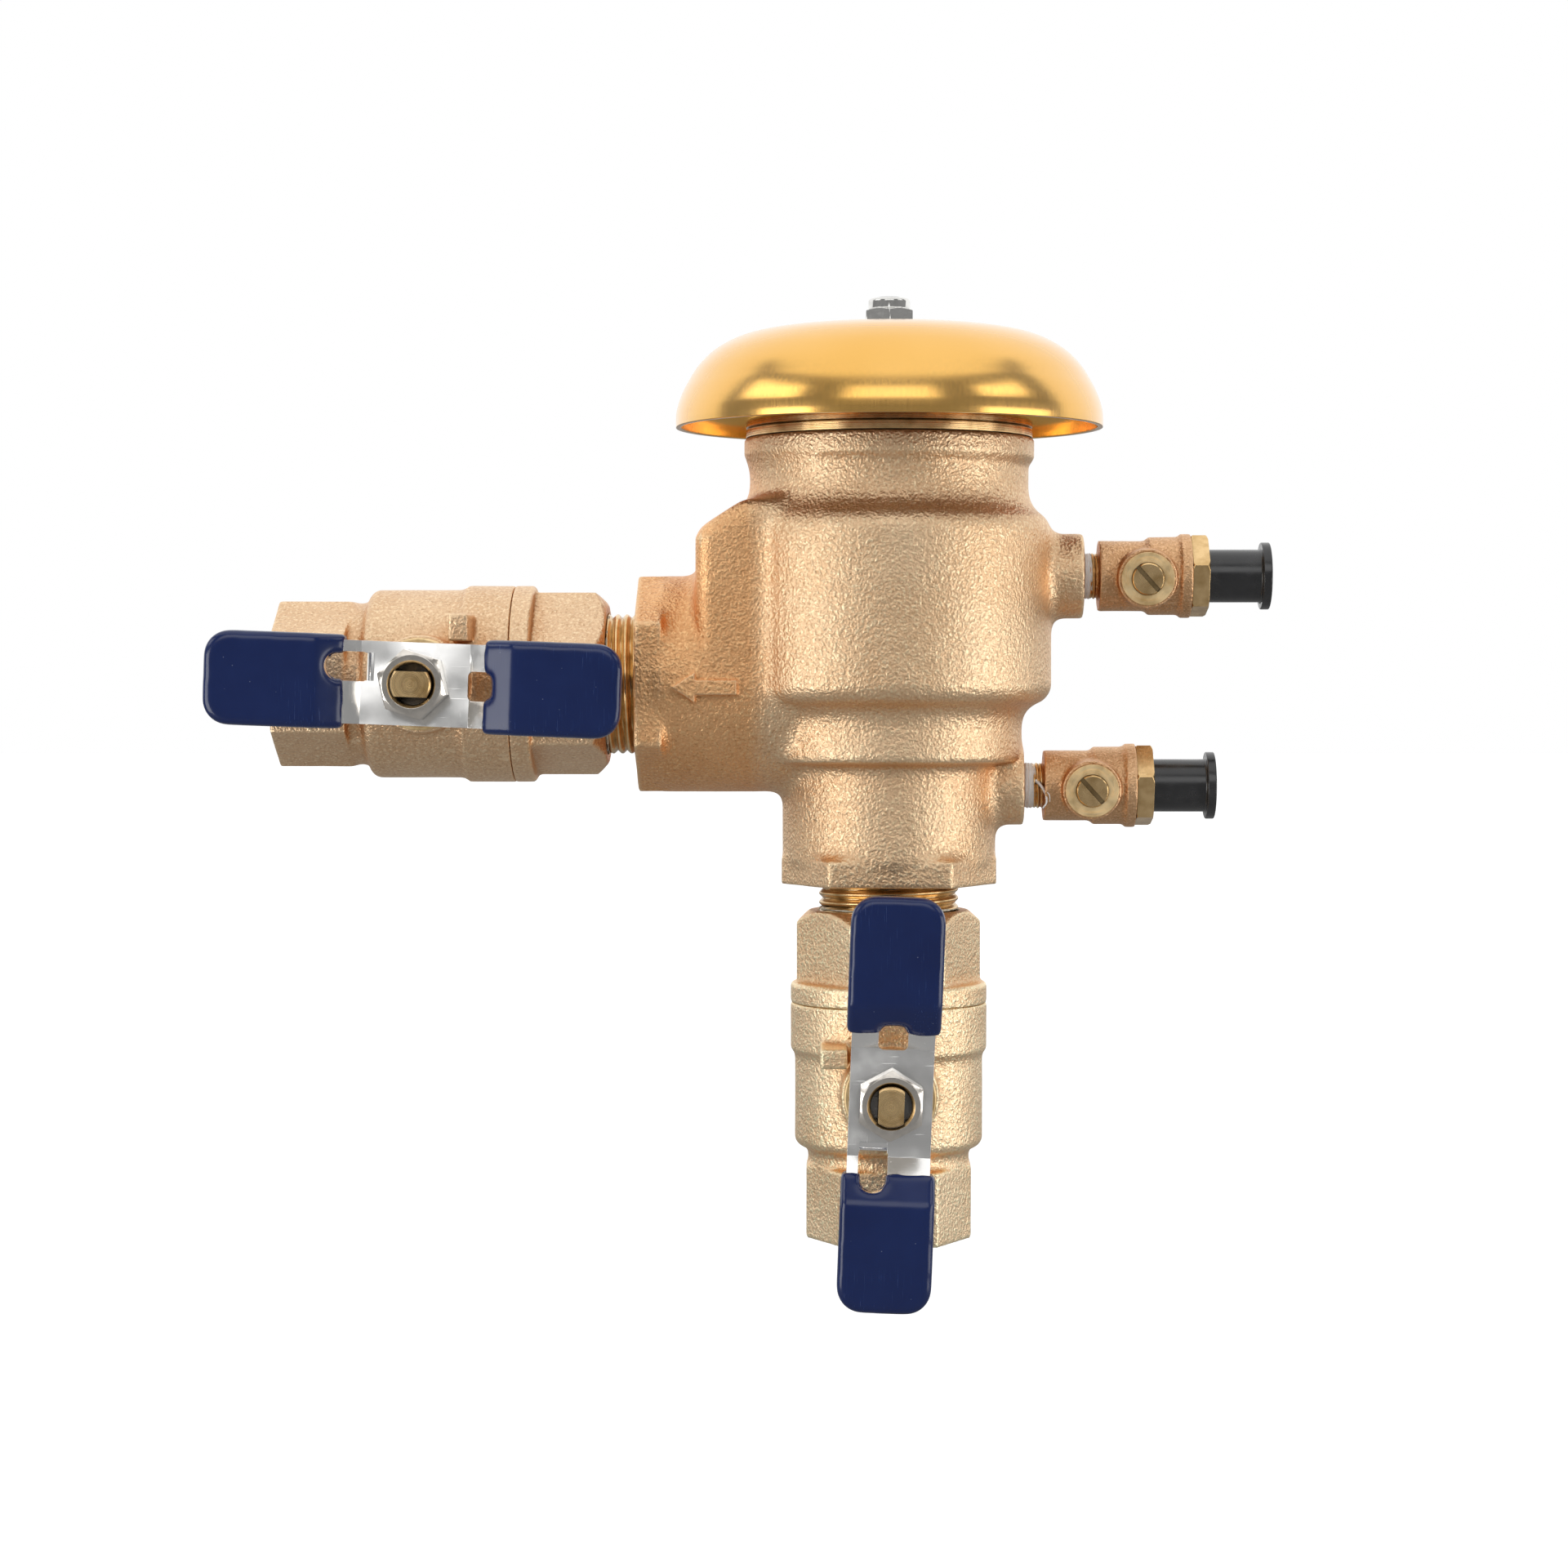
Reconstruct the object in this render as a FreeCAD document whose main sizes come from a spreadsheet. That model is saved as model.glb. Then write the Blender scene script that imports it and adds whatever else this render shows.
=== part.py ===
"""A 1 inch pressure vacuum breaker with its two ball valves and two test cocks.

Frame: millimetres, +Z up, front towards -Y. The origin is the centre of the inlet valve's lower
end face, where the riser pipe screws in. The water goes up through the inlet valve, through the
check valve in the body, and out along -X through the outlet valve.
"""

import FreeCAD, Part

import math
import os

import Sketcher
from FreeCAD import Placement, Rotation, Vector

SIZES = {
    # 1 inch pipe threads and nipples
    "pipe_radius": 16.7,
    "pipe_bore_radius": 13.2,
    "tapped_radius": 16.75,
    "tapped_depth": 17.5,
    "thread_pitch": 2.2,
    "thread_depth": 1.0,
    "nipple_length": 38.1,
    "waterway_radius": 12.5,
    # body casting
    "inlet_collar_bottom": 84.9,
    "outlet_axis_height": 132.6,
    "outlet_collar_reach": 59.8,
    "collar_length": 6.5,
    "collar_flats": 49.8,
    "collar_trim": 25.6,
    "leg_radius": 25.5,
    "skirt_radius": 31.8,
    "skirt_bottom": 114.1,
    "skirt_top": 123.5,
    "chamber_radius": 38.8,
    "chamber_bottom": 132.4,
    "chamber_top": 168.5,
    "neck_radius": 33.3,
    "neck_bottom": 178.0,
    "crown_bottom": 185.4,
    "crown_radius": 34.6,
    "body_top": 191.2,
    "wall": 4.2,
    "arm_radius": 25.8,
    "side_box_reach": 45.5,
    "side_box_shoulder": 168.6,
    "side_box_ridge_reach": 34.0,
    "side_box_ridge": 176.0,
    "side_box_corner": 4.0,
    "upper_boss_height": 158.4,
    "upper_boss_reach": 46.3,
    "upper_boss_radius": 10.1,
    "lower_boss_height": 108.3,
    "lower_boss_reach": 32.2,
    "lower_boss_radius": 9.5,
    "boss_hole_radius": 5.15,
    "arrow_tip_reach": 50.7,
    "arrow_tail_reach": 35.7,
    "arrow_height": 131.8,
    "arrow_relief": 0.9,
    # check valve inside the body
    "check_floor": 119.0,
    "check_seat_radius": 17.0,
    "check_seat_lip": 122.0,
    "check_disc_radius": 17.5,
    "check_disc_thickness": 3.0,
    "check_stem_radius": 3.5,
    "check_guide_top": 150.0,
    "check_guide_radius": 26.6,
    "spring_wire_radius": 0.6,
    "check_spring_radius": 9.0,
    # bonnet, air inlet and canopy
    "bonnet_thread_radius": 29.45,
    "bonnet_flange_radius": 34.2,
    "bonnet_flange_top": 195.6,
    "air_seat_radius": 19.0,
    "air_seat_height": 186.0,
    "float_radius": 24.0,
    "float_travel": 7.0,
    "float_stem_radius": 3.4,
    "float_spring_radius": 6.2,
    "hub_radius": 8.0,
    "canopy_radius": 51.0,
    "canopy_rim": 193.7,
    "canopy_top": 217.6,
    "canopy_sheet": 1.2,
    "stud_radius": 3.1,
    "canopy_nut_flats": 11.1,
    "canopy_nut_height": 7.0,
    # ball valves, measured from the threaded end face
    "valve_length": 78.5,
    "valve_stem_offset": 36.3,
    "outlet_valve_end_reach": 145.7,
    "end_hex_flats": 39.0,
    "end_hex_trim": 19.7,
    "end_hex_length": 17.6,
    "valve_radius": 22.5,
    "band_radius": 23.5,
    "band_start": 44.8,
    "joint_plane": 56.3,
    "band_end": 61.2,
    "tail_hex_flats": 38.6,
    "tail_hex_end": 75.5,
    "tail_face_radius": 19.0,
    "ball_radius": 17.0,
    "ball_cavity_radius": 18.3,
    "ball_seat_radius": 17.35,
    "ball_seat_length": 5.0,
    "tail_thread_radius": 20.0,
    "stem_radius": 4.7,
    "stem_flats": 5.85,
    "stem_reach": 44.8,
    "gland_radius": 10.75,
    "gland_reach": 28.5,
    "stop_lug_reach": 31.8,
    # T handles
    "handle_tilt": 2.2,
    "handle_reach": 33.3,
    "handle_sheet": 2.5,
    "handle_rise": 5.5,
    "handle_half_width": 9.6,
    "handle_flat_end": 12.5,
    "handle_wing_start": 22.8,
    "handle_half_length": 46.6,
    "handle_tip_corner": 4.6,
    "vinyl_thickness": 0.9,
    "vinyl_start": 16.1,
    "slot_width": 6.8,
    "slot_lining": 0.3,
    "long_slot_offset": 3.6,
    "long_slot_near": 11.6,
    "long_slot_far": 21.2,
    "short_slot_near": 12.2,
    "short_slot_far": 18.7,
    "stop_tab_reach": 29.3,
    "handle_nut_flats": 14.3,
    "handle_nut_height": 7.0,
    # test cocks, measured from the inner end of the cock's cast body
    "cock_neck_radius": 5.1,
    "cock_neck_length": 12.0,
    "upper_cock_start": 50.0,
    "lower_cock_start": 37.0,
    "cock_roll": 5.0,
    "cock_radius": 8.4,
    "cock_barrel_radius": 9.3,
    "cock_barrel_start": 10.9,
    "cock_band_radius": 10.0,
    "cock_band_start": 19.2,
    "cock_band_end": 21.8,
    "cock_hex_flats": 17.5,
    "cock_hex_end": 25.9,
    "cock_stem_offset": 11.0,
    "cock_ball_radius": 5.2,
    "cock_ball_bore_radius": 2.4,
    "cock_boss_radius": 7.0,
    "cock_boss_reach": 10.7,
    "cock_ring_radius": 6.3,
    "cock_ring_reach": 11.4,
    "cock_stem_radius": 3.8,
    "cock_stem_reach": 12.2,
    "cock_slot_turn": 48.0,
    "plug_radius": 6.3,
    "plug_wall": 1.2,
    "plug_spigot_radius": 5.0,
    "plug_flange_start": 38.7,
    "plug_flange_radius": 8.0,
    "plug_end": 40.8,
}

FIT = 0.05  # radial gap between pieces that touch, and the running gap of shafts


class Size:
    """A length and the sheet expression that gives it, so that arithmetic stays bound."""

    def __init__(self, value, text):
        self.value = value
        self.text = text

    def __add__(self, other):
        other = as_size(other)
        return Size(self.value + other.value, f"({self.text} + {other.text})")

    def __sub__(self, other):
        other = as_size(other)
        return Size(self.value - other.value, f"({self.text} - {other.text})")

    def __mul__(self, other):
        other = as_size(other)
        return Size(self.value * other.value, f"({self.text} * {other.text})")

    def __truediv__(self, other):
        other = as_size(other)
        return Size(self.value / other.value, f"({self.text} / {other.text})")

    def __radd__(self, other):
        return as_size(other) + self

    def __rsub__(self, other):
        return as_size(other) - self

    def __rmul__(self, other):
        return as_size(other) * self

    def __neg__(self):
        return Size(-self.value, f"(0 - {self.text})")


def as_size(number):
    """A plain number as a Size."""
    if isinstance(number, Size):
        return number
    return Size(float(number), f"({float(number):.6f})")


class Sheet:
    """The driving dimensions, each an attribute that is a Size."""

    def __init__(self, document, values):
        sheet = document.addObject("Spreadsheet::Sheet", "sizes")
        for row, (name, value) in enumerate(values.items(), start=1):
            sheet.set(f"A{row}", name)
            sheet.set(f"B{row}", str(value))
            sheet.setAlias(f"B{row}", name)
            setattr(self, name, Size(value, f"sizes.{name}"))


doc = FreeCAD.newDocument("pressure_vacuum_breaker")
dim = Sheet(doc, SIZES)
doc.recompute()
nodes = []


# ---------------------------------------------------------------- building blocks


def bind(item, name, size):
    """Bind one property of a document object to a size."""
    item.setExpression(name, as_size(size).text)


def arc_between(start, end, radius):
    """The minor arc from start to end: a positive radius turns left, a negative one right."""
    chord = end - start
    to_left = Vector(-chord.y, chord.x, 0).normalize()
    rise = math.sqrt(radius * radius - (chord.Length / 2) ** 2)
    side = 1 if radius > 0 else -1
    middle = (start + end) / 2
    centre = middle + to_left * rise * side
    crown = centre + (middle - centre).normalize() * abs(radius)
    return Part.Arc(start, crown, end)


def draw(sketch, outline):
    """Draw a closed outline of (x, y) corners; (x, y, radius) arrives at its corner by an arc."""
    corners = [(as_size(corner[0]), as_size(corner[1])) for corner in outline]
    points = [Vector(x.value, y.value, 0) for x, y in corners]
    count = len(outline)
    edges = []
    for index in range(count):
        arriving = outline[(index + 1) % count]
        start = points[index]
        end = points[(index + 1) % count]
        if len(arriving) == 3:
            radius = as_size(arriving[2])
            edge = sketch.addGeometry(arc_between(start, end, radius.value), False)
            turns_left = radius.value > 0
            edges.append((edge, 1 if turns_left else 2, 2 if turns_left else 1))
            row = sketch.addConstraint(Sketcher.Constraint("Radius", edge, abs(radius.value)))
            sketch.setExpression(f"Constraints[{row}]", f"abs({radius.text})")
        else:
            edge = sketch.addGeometry(Part.LineSegment(start, end), False)
            edges.append((edge, 1, 2))
    for index, (edge, first, _) in enumerate(edges):
        before, _, last = edges[index - 1]
        sketch.addConstraint(Sketcher.Constraint("Coincident", before, last, edge, first))
        for kind, size in zip(("DistanceX", "DistanceY"), corners[index]):
            rule = Sketcher.Constraint(kind, -1, 1, edge, first, size.value)
            row = sketch.addConstraint(rule)
            sketch.setExpression(f"Constraints[{row}]", size.text)


def sketch_in(body, plane, outline, offset=0):
    """A sketch of an outline on one of the body's origin planes, moved along its normal."""
    sketch = body.newObject("Sketcher::SketchObject", f"{body.Name}_outline")
    planes = [item for item in body.Origin.OriginFeatures if item.Role == plane]
    sketch.AttachmentSupport = [(planes[0], "")]
    sketch.MapMode = "FlatFace"
    bind(sketch, "AttachmentOffset.Base.z", offset)
    draw(sketch, outline)
    return sketch


def turned(name, outline, plane="XZ_Plane"):
    """A body turned from a (radius, height) outline: about Z, or about Y on the XY plane."""
    body = doc.addObject("PartDesign::Body", name)
    turning = body.newObject("PartDesign::Revolution", f"{name}_turning")
    turning.Profile = sketch_in(body, plane, outline)
    turning.ReferenceAxis = (turning.Profile[0], ["V_Axis"])
    turning.Angle = 360
    return body


def padded(name, plane, outline, start, end):
    """A body padded from an outline, between two distances along the plane's normal."""
    body = doc.addObject("PartDesign::Body", name)
    pad = body.newObject("PartDesign::Pad", f"{name}_pad")
    pad.Profile = sketch_in(body, plane, outline, start)
    bind(pad, "Length", as_size(end) - start)
    return body


def cylinder(name, radius, start, end, axis="Z"):
    """A cylinder on an axis through the origin, between two distances along it."""
    item = doc.addObject("Part::Cylinder", name)
    bind(item, "Radius", radius)
    bind(item, "Height", as_size(end) - start)
    turns = {"X": Rotation(Vector(0, 1, 0), 90), "Y": Rotation(Vector(1, 0, 0), -90), "Z": Rotation()}
    item.Placement = Placement(Vector(), turns[axis])
    bind(item, f"Placement.Base.{axis.lower()}", start)
    return item


def moved(item, **offsets):
    """Bind the place of an item: moved(item, x=..., z=...)."""
    for axis, size in offsets.items():
        bind(item, f"Placement.Base.{axis}", size)
    return item


def block(name, low, high):
    """A box between two corners."""
    item = doc.addObject("Part::Box", name)
    for side, first, last, axis in zip(("Length", "Width", "Height"), low, high, "xyz"):
        bind(item, side, as_size(last) - first)
        bind(item, f"Placement.Base.{axis}", first)
    return item


def fused(name, *items):
    """One shape of several."""
    item = doc.addObject("Part::MultiFuse", name)
    item.Shapes = list(items)
    item.Refine = True
    return item


def shared(name, *items):
    """What several shapes have in common."""
    item = doc.addObject("Part::MultiCommon", name)
    item.Shapes = list(items)
    return item


def cut(name, base, *tools):
    """The base without the tools."""
    item = doc.addObject("Part::Cut", name)
    item.Base = base
    item.Tool = tools[0] if len(tools) == 1 else fused(f"{name}_tools", *tools)
    return item


def torus(name, radius, section):
    """A ring of round section about Z."""
    item = doc.addObject("Part::Torus", name)
    bind(item, "Radius1", radius)
    bind(item, "Radius2", section)
    return item


def helix_spring(name, radius, bottom, top, turns):
    """A coil spring about Z from round wire."""
    helix = doc.addObject("Part::Helix", f"{name}_path")
    height = as_size(top) - bottom - dim.spring_wire_radius * 2
    bind(helix, "Radius", radius)
    bind(helix, "Height", height)
    bind(helix, "Pitch", height / turns)
    helix.SegmentLength = 1
    wire = doc.addObject("Part::Circle", f"{name}_wire")
    bind(wire, "Radius", dim.spring_wire_radius)
    wire.Placement = Placement(Vector(), Rotation(Vector(1, 0, 0), 90))
    bind(wire, "Placement.Base.x", radius)
    sweep = doc.addObject("Part::Sweep", name)
    sweep.Sections = [wire]
    sweep.Spine = (helix, ["Edge1"])
    sweep.Solid = True
    sweep.Frenet = True
    return moved(sweep, z=as_size(bottom) + dim.spring_wire_radius)


def hexagon(flats, turn=0):
    """Corners of a hexagon; at turn 0 two of its flats face the second axis."""
    radius = flats / math.sqrt(3)
    angles = [math.radians(turn + 60 * corner) for corner in range(6)]
    return [(radius * math.cos(angle), radius * math.sin(angle)) for angle in angles]


def trimmed_hexagon(flats, trim):
    """A hexagon whose flats face the second axis, with its two side corners cut off at trim."""
    half = flats / 2
    corner = flats / math.sqrt(3)
    knee = (corner - trim) * math.sqrt(3)
    right = [(corner / 2, -half), (trim, -knee), (trim, knee), (corner / 2, half)]
    return right + [(-x, -y) for x, y in right]


def rounded_rectangle(left, right, low, high, radius):
    """A rectangle with round corners."""
    left, right, low, high = (as_size(side) for side in (left, right, low, high))
    return [
        (left + radius, low, radius),
        (right - radius, low),
        (right, low + radius, radius),
        (right, high - radius),
        (right - radius, high, radius),
        (left + radius, high),
        (left, high - radius, radius),
        (left, low + radius),
    ]


def keep(label, item, frame=None):
    """Name a finished piece, and put it where its own frame stands in the object."""
    item.Label = label
    if frame is not None:
        position, turn = frame
        item.Placement = Placement(Vector(), turn)
        moved(item, **dict(zip("xyz", position)))
    nodes.append(item)


# ---------------------------------------------------------------- body casting


def body_casting():
    """The cast bronze body, with its chamber, tapped ports and two test cock bosses."""
    chamber_swell = (dim.skirt_radius + dim.chamber_radius) / 2
    shoulder_middle = (dim.chamber_radius + dim.neck_radius) / 2
    shell = turned("casting_shell", [
        (0, dim.inlet_collar_bottom + dim.collar_length - 1),
        (dim.leg_radius, dim.inlet_collar_bottom + dim.collar_length - 1),
        (dim.leg_radius, dim.skirt_bottom - 1.5),
        (dim.leg_radius + 1.5, dim.skirt_bottom, -1.5),
        (dim.skirt_radius - 1.5, dim.skirt_bottom),
        (dim.skirt_radius, dim.skirt_bottom + 1.5, 1.5),
        (dim.skirt_radius, dim.skirt_top),
        (chamber_swell, (dim.skirt_top + dim.chamber_bottom) / 2, -5),
        (dim.chamber_radius, dim.chamber_bottom, 5),
        (dim.chamber_radius, dim.chamber_top),
        (shoulder_middle, (dim.chamber_top + dim.neck_bottom) / 2, 6),
        (dim.neck_radius, dim.neck_bottom, -6),
        (dim.neck_radius, dim.crown_bottom - 1),
        (dim.crown_radius, dim.crown_bottom + 1),
        (dim.crown_radius, dim.body_top - 0.8),
        (dim.crown_radius - 0.8, dim.body_top, 0.8),
        (0, dim.body_top),
    ])
    arm = cylinder("casting_arm", dim.arm_radius, -dim.outlet_collar_reach + dim.collar_length - 1, 0, "X")
    moved(arm, z=dim.outlet_axis_height)
    far = -dim.side_box_reach
    corner = dim.side_box_corner
    side_box = padded("casting_side_box", "XY_Plane", [
        (far + corner, -dim.arm_radius, corner),
        (0, -dim.arm_radius),
        (0, dim.arm_radius),
        (far + corner, dim.arm_radius),
        (far, dim.arm_radius - corner, corner),
        (far, -dim.arm_radius + corner),
    ], dim.outlet_axis_height, dim.side_box_ridge)
    slope = padded("casting_slope", "XZ_Plane", [
        (-dim.side_box_reach - 5, dim.side_box_ridge + 5),
        (-dim.side_box_reach - 5, dim.side_box_shoulder),
        (-dim.side_box_reach, dim.side_box_shoulder),
        (-dim.side_box_ridge_reach, dim.side_box_ridge),
        (-dim.side_box_ridge_reach, dim.side_box_ridge + 5),
    ], -40, 40)
    inlet_collar = padded(
        "casting_inlet_collar", "XY_Plane", trimmed_hexagon(dim.collar_flats, dim.collar_trim),
        dim.inlet_collar_bottom, dim.inlet_collar_bottom + dim.collar_length,
    )
    outlet_collar = padded(
        "casting_outlet_collar", "YZ_Plane",
        [(y, x + dim.outlet_axis_height) for x, y in trimmed_hexagon(dim.collar_flats, dim.collar_trim)],
        -dim.outlet_collar_reach, -dim.outlet_collar_reach + dim.collar_length,
    )
    bosses = []
    holes = []
    for place in ("upper", "lower"):
        height = getattr(dim, f"{place}_boss_height")
        reach = getattr(dim, f"{place}_boss_reach")
        radius = getattr(dim, f"{place}_boss_radius")
        boss = cylinder(f"casting_{place}_boss", radius, 18, reach, "X")
        hole = cylinder(f"casting_{place}_hole", dim.boss_hole_radius, 10, reach + 1, "X")
        bosses.append(moved(boss, z=height))
        holes.append(moved(hole, z=height))
    middle = dim.arrow_height
    neck = dim.arrow_tip_reach - 5.2
    arrow = padded("casting_arrow", "XZ_Plane", [
        (-dim.arrow_tip_reach, middle),
        (-neck, middle - 3.5),
        (-neck, middle - 1.7),
        (-dim.arrow_tail_reach, middle - 1.7),
        (-dim.arrow_tail_reach, middle + 1.7),
        (-neck, middle + 1.7),
        (-neck, middle + 3.5),
    ], dim.arm_radius - 2, dim.arm_radius + dim.arrow_relief)
    chamber = turned("casting_chamber", [
        (0, dim.inlet_collar_bottom - 1),
        (dim.tapped_radius, dim.inlet_collar_bottom - 1),
        (dim.tapped_radius, dim.inlet_collar_bottom + dim.tapped_depth),
        (dim.waterway_radius, dim.inlet_collar_bottom + dim.tapped_depth),
        (dim.waterway_radius, dim.check_floor - 6),
        (dim.check_seat_radius, dim.check_floor - 6),
        (dim.check_seat_radius, dim.check_floor),
        (dim.skirt_radius - dim.wall, dim.check_floor),
        (dim.skirt_radius - dim.wall, dim.skirt_top + 0.5),
        (dim.chamber_radius - dim.wall, dim.chamber_bottom + 0.5),
        (dim.chamber_radius - dim.wall, dim.chamber_top - 0.5),
        (dim.bonnet_thread_radius + FIT, dim.neck_bottom - 2.5),
        (dim.bonnet_thread_radius + FIT, dim.body_top - 2.7),
        (dim.crown_radius - 2.4, dim.body_top - 2.7),
        (dim.crown_radius - 2.4, dim.body_top + 1),
        (0, dim.body_top + 1),
    ])
    outlet_tap = cylinder(
        "casting_outlet_tap", dim.tapped_radius,
        -dim.outlet_collar_reach - 1, -dim.outlet_collar_reach + dim.tapped_depth, "X",
    )
    outlet_way = cylinder("casting_outlet_way", dim.waterway_radius, -dim.outlet_collar_reach, -20, "X")
    side_room = block(
        "casting_side_room",
        (-dim.side_box_reach + dim.wall, -20, dim.outlet_axis_height - 10),
        (-20, 20, dim.side_box_shoulder - 5),
    )
    solid = fused("casting_solid", shell, arm, cut("casting_box", side_box, slope), *bosses)
    collars = fused("casting_outside", solid, inlet_collar, outlet_collar, arrow)
    hollow = cut(
        "body_casting", collars, chamber, side_room, *holes,
        moved(outlet_tap, z=dim.outlet_axis_height),
        moved(outlet_way, z=dim.outlet_axis_height),
    )
    keep("body_casting", hollow)


def nipple(label, frame):
    """A close nipple along Z, with thread crests turned at both ends."""
    outline = [(dim.pipe_bore_radius, 0)]
    crests = 7
    for end, step in ((0, 1), (dim.nipple_length, -1)):
        order = range(crests) if step > 0 else reversed(range(crests))
        for turn in order:
            root = as_size(end) + dim.thread_pitch * (turn * step)
            crest = root + dim.thread_pitch * 0.5 * step
            pair = [(dim.pipe_radius - dim.thread_depth, root), (dim.pipe_radius, crest)]
            outline += pair if step > 0 else pair[::-1]
    outline.append((dim.pipe_bore_radius, dim.nipple_length))
    keep(label, turned(f"{label}_body", outline), frame)


# ---------------------------------------------------------------- check valve


def check_valve():
    """The spring-loaded check valve that stands on the floor of the chamber."""
    floor = dim.check_floor
    lip = dim.check_seat_lip
    keep("check_seat", turned("seat_ring", [
        (dim.waterway_radius, floor - 6 + FIT),
        (dim.check_seat_radius - FIT, floor - 6 + FIT),
        (dim.check_seat_radius - FIT, floor - 4.2),
        (dim.check_seat_radius - 1.2, floor - 4.2),
        (dim.check_seat_radius - 1.2, floor - 2.2),
        (dim.check_seat_radius - FIT, floor - 2.2),
        (dim.check_seat_radius - FIT, floor + 1),
        (dim.waterway_radius + 2, lip, -2),
        (dim.waterway_radius + 0.6, lip),
        (dim.waterway_radius, lip - 0.6, 0.6),
    ]))
    keep("check_seat_o_ring", moved(torus("seat_o_ring", dim.check_seat_radius - 0.62, 0.55), z=floor - 3.2))
    disc_bottom = lip + FIT
    disc_top = disc_bottom + dim.check_disc_thickness
    keep("check_disc", turned("disc_ring", [
        (6, disc_bottom),
        (dim.check_disc_radius, disc_bottom),
        (dim.check_disc_radius, disc_top),
        (6, disc_top),
    ]))
    poppet = turned("poppet_turning", [
        (0, disc_bottom - 2),
        (6 - FIT, disc_bottom - 2),
        (6 - FIT, disc_top),
        (dim.check_disc_radius + FIT, disc_top),
        (dim.check_disc_radius + FIT, disc_bottom + 0.8),
        (dim.check_disc_radius + 1.4, disc_bottom + 0.8),
        (dim.check_disc_radius + 1.4, disc_top + 3),
        (dim.check_stem_radius + 3, disc_top + 4.5),
        (dim.check_stem_radius, disc_top + 7, -4),
        (dim.check_stem_radius, dim.check_guide_top + 2),
        (0, dim.check_guide_top + 2),
    ])
    keep("check_poppet", poppet)
    keep("check_disc_retainer", turned("retainer_turning", [
        (0, disc_bottom - 4.5),
        (8, disc_bottom - 4.5),
        (11, disc_bottom - 0.5),
        (11, disc_bottom - FIT),
        (6, disc_bottom - FIT),
        (6, disc_bottom - 2 - FIT),
        (0, disc_bottom - 2 - FIT),
    ]))
    ring = turned("guide_ring", [
        (dim.check_guide_radius - 5, floor + FIT),
        (dim.check_guide_radius, floor + FIT),
        (dim.check_guide_radius, floor + 3),
        (dim.check_guide_radius - 5, floor + 3),
    ])
    hub = turned("guide_hub", [
        (dim.check_stem_radius + FIT, dim.check_guide_top - 5),
        (dim.check_stem_radius + 3.5, dim.check_guide_top - 5),
        (dim.check_stem_radius + 3.5, dim.check_guide_top),
        (dim.check_stem_radius + FIT, dim.check_guide_top),
    ])
    legs = []
    for number in range(3):
        leg = block(
            f"guide_leg_{number}",
            (dim.check_guide_radius - 4.5, -2.5, floor + 2),
            (dim.check_guide_radius - 1, 2.5, dim.check_guide_top),
        )
        arm = block(
            f"guide_arm_{number}",
            (dim.check_stem_radius + 2, -2.5, dim.check_guide_top - 3),
            (dim.check_guide_radius - 1, 2.5, dim.check_guide_top),
        )
        spoke = fused(f"guide_spoke_{number}", leg, arm)
        spoke.Placement = Placement(Vector(), Rotation(Vector(0, 0, 1), 60 + 120 * number))
        legs.append(spoke)
    keep("check_guide", fused("guide", ring, hub, *legs))
    keep("check_spring", helix_spring(
        "check_coil", dim.check_spring_radius, disc_top + 4.35, dim.check_guide_top - 3.1, 4,
    ))


# ---------------------------------------------------------------- air inlet and canopy


def bonnet():
    """The brass bonnet: a threaded ring with the air seat, three arms and the guide hub."""
    top = dim.bonnet_flange_top
    ring = turned("bonnet_ring", [
        (dim.bonnet_thread_radius - 3, dim.neck_bottom + 0.5),
        (dim.bonnet_thread_radius, dim.neck_bottom + 0.5),
        (dim.bonnet_thread_radius, dim.body_top + FIT),
        (dim.bonnet_flange_radius, dim.body_top + FIT),
        (dim.bonnet_flange_radius, dim.body_top + 1.9),
        (dim.bonnet_flange_radius - 0.5, dim.body_top + 2.2),
        (dim.bonnet_flange_radius, dim.body_top + 2.5),
        (dim.bonnet_flange_radius, top - 0.6),
        (dim.bonnet_flange_radius - 0.6, top),
        (dim.air_seat_radius + 1, top),
        (dim.air_seat_radius, top - 1),
        (dim.air_seat_radius, dim.air_seat_height),
        (dim.air_seat_radius + 2, dim.air_seat_height),
        (dim.air_seat_radius + 2, dim.air_seat_height + 1),
        (dim.bonnet_thread_radius - 3, dim.air_seat_height + 1),
    ])
    hub = turned("bonnet_hub", [
        (0, dim.canopy_top - dim.canopy_sheet),
        (0, dim.air_seat_height + 27),
        (dim.float_stem_radius + FIT, dim.air_seat_height + 26),
        (dim.float_stem_radius + FIT, top + 1),
        (dim.hub_radius, top + 1),
        (dim.hub_radius, top + 11),
        (dim.hub_radius - 2, top + 14),
        (dim.hub_radius - 2, dim.canopy_top - dim.canopy_sheet),
    ][::-1])
    arms = []
    for number in range(3):
        arm = block(
            f"bonnet_arm_{number}",
            (dim.hub_radius - 1, -2.5, top - 2), (dim.bonnet_flange_radius - 5, 2.5, top + 6),
        )
        foot = block(
            f"bonnet_foot_{number}",
            (dim.air_seat_radius - 1, -2.5, top - 5), (dim.air_seat_radius + 4, 2.5, top),
        )
        spoke = fused(f"bonnet_spoke_{number}", arm, foot)
        spoke.Placement = Placement(Vector(), Rotation(Vector(0, 0, 1), 30 + 120 * number))
        arms.append(spoke)
    stud_hole = cylinder("bonnet_stud_hole", dim.stud_radius + FIT, top + 18, dim.canopy_top)
    keep("bonnet", cut("bonnet_body", fused("bonnet_solid", ring, hub, *arms), stud_hole))
    seal = torus("bonnet_ring_seal", dim.crown_radius - 3.75, 1.25)
    keep("bonnet_o_ring", moved(seal, z=dim.body_top - 1.35))


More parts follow.
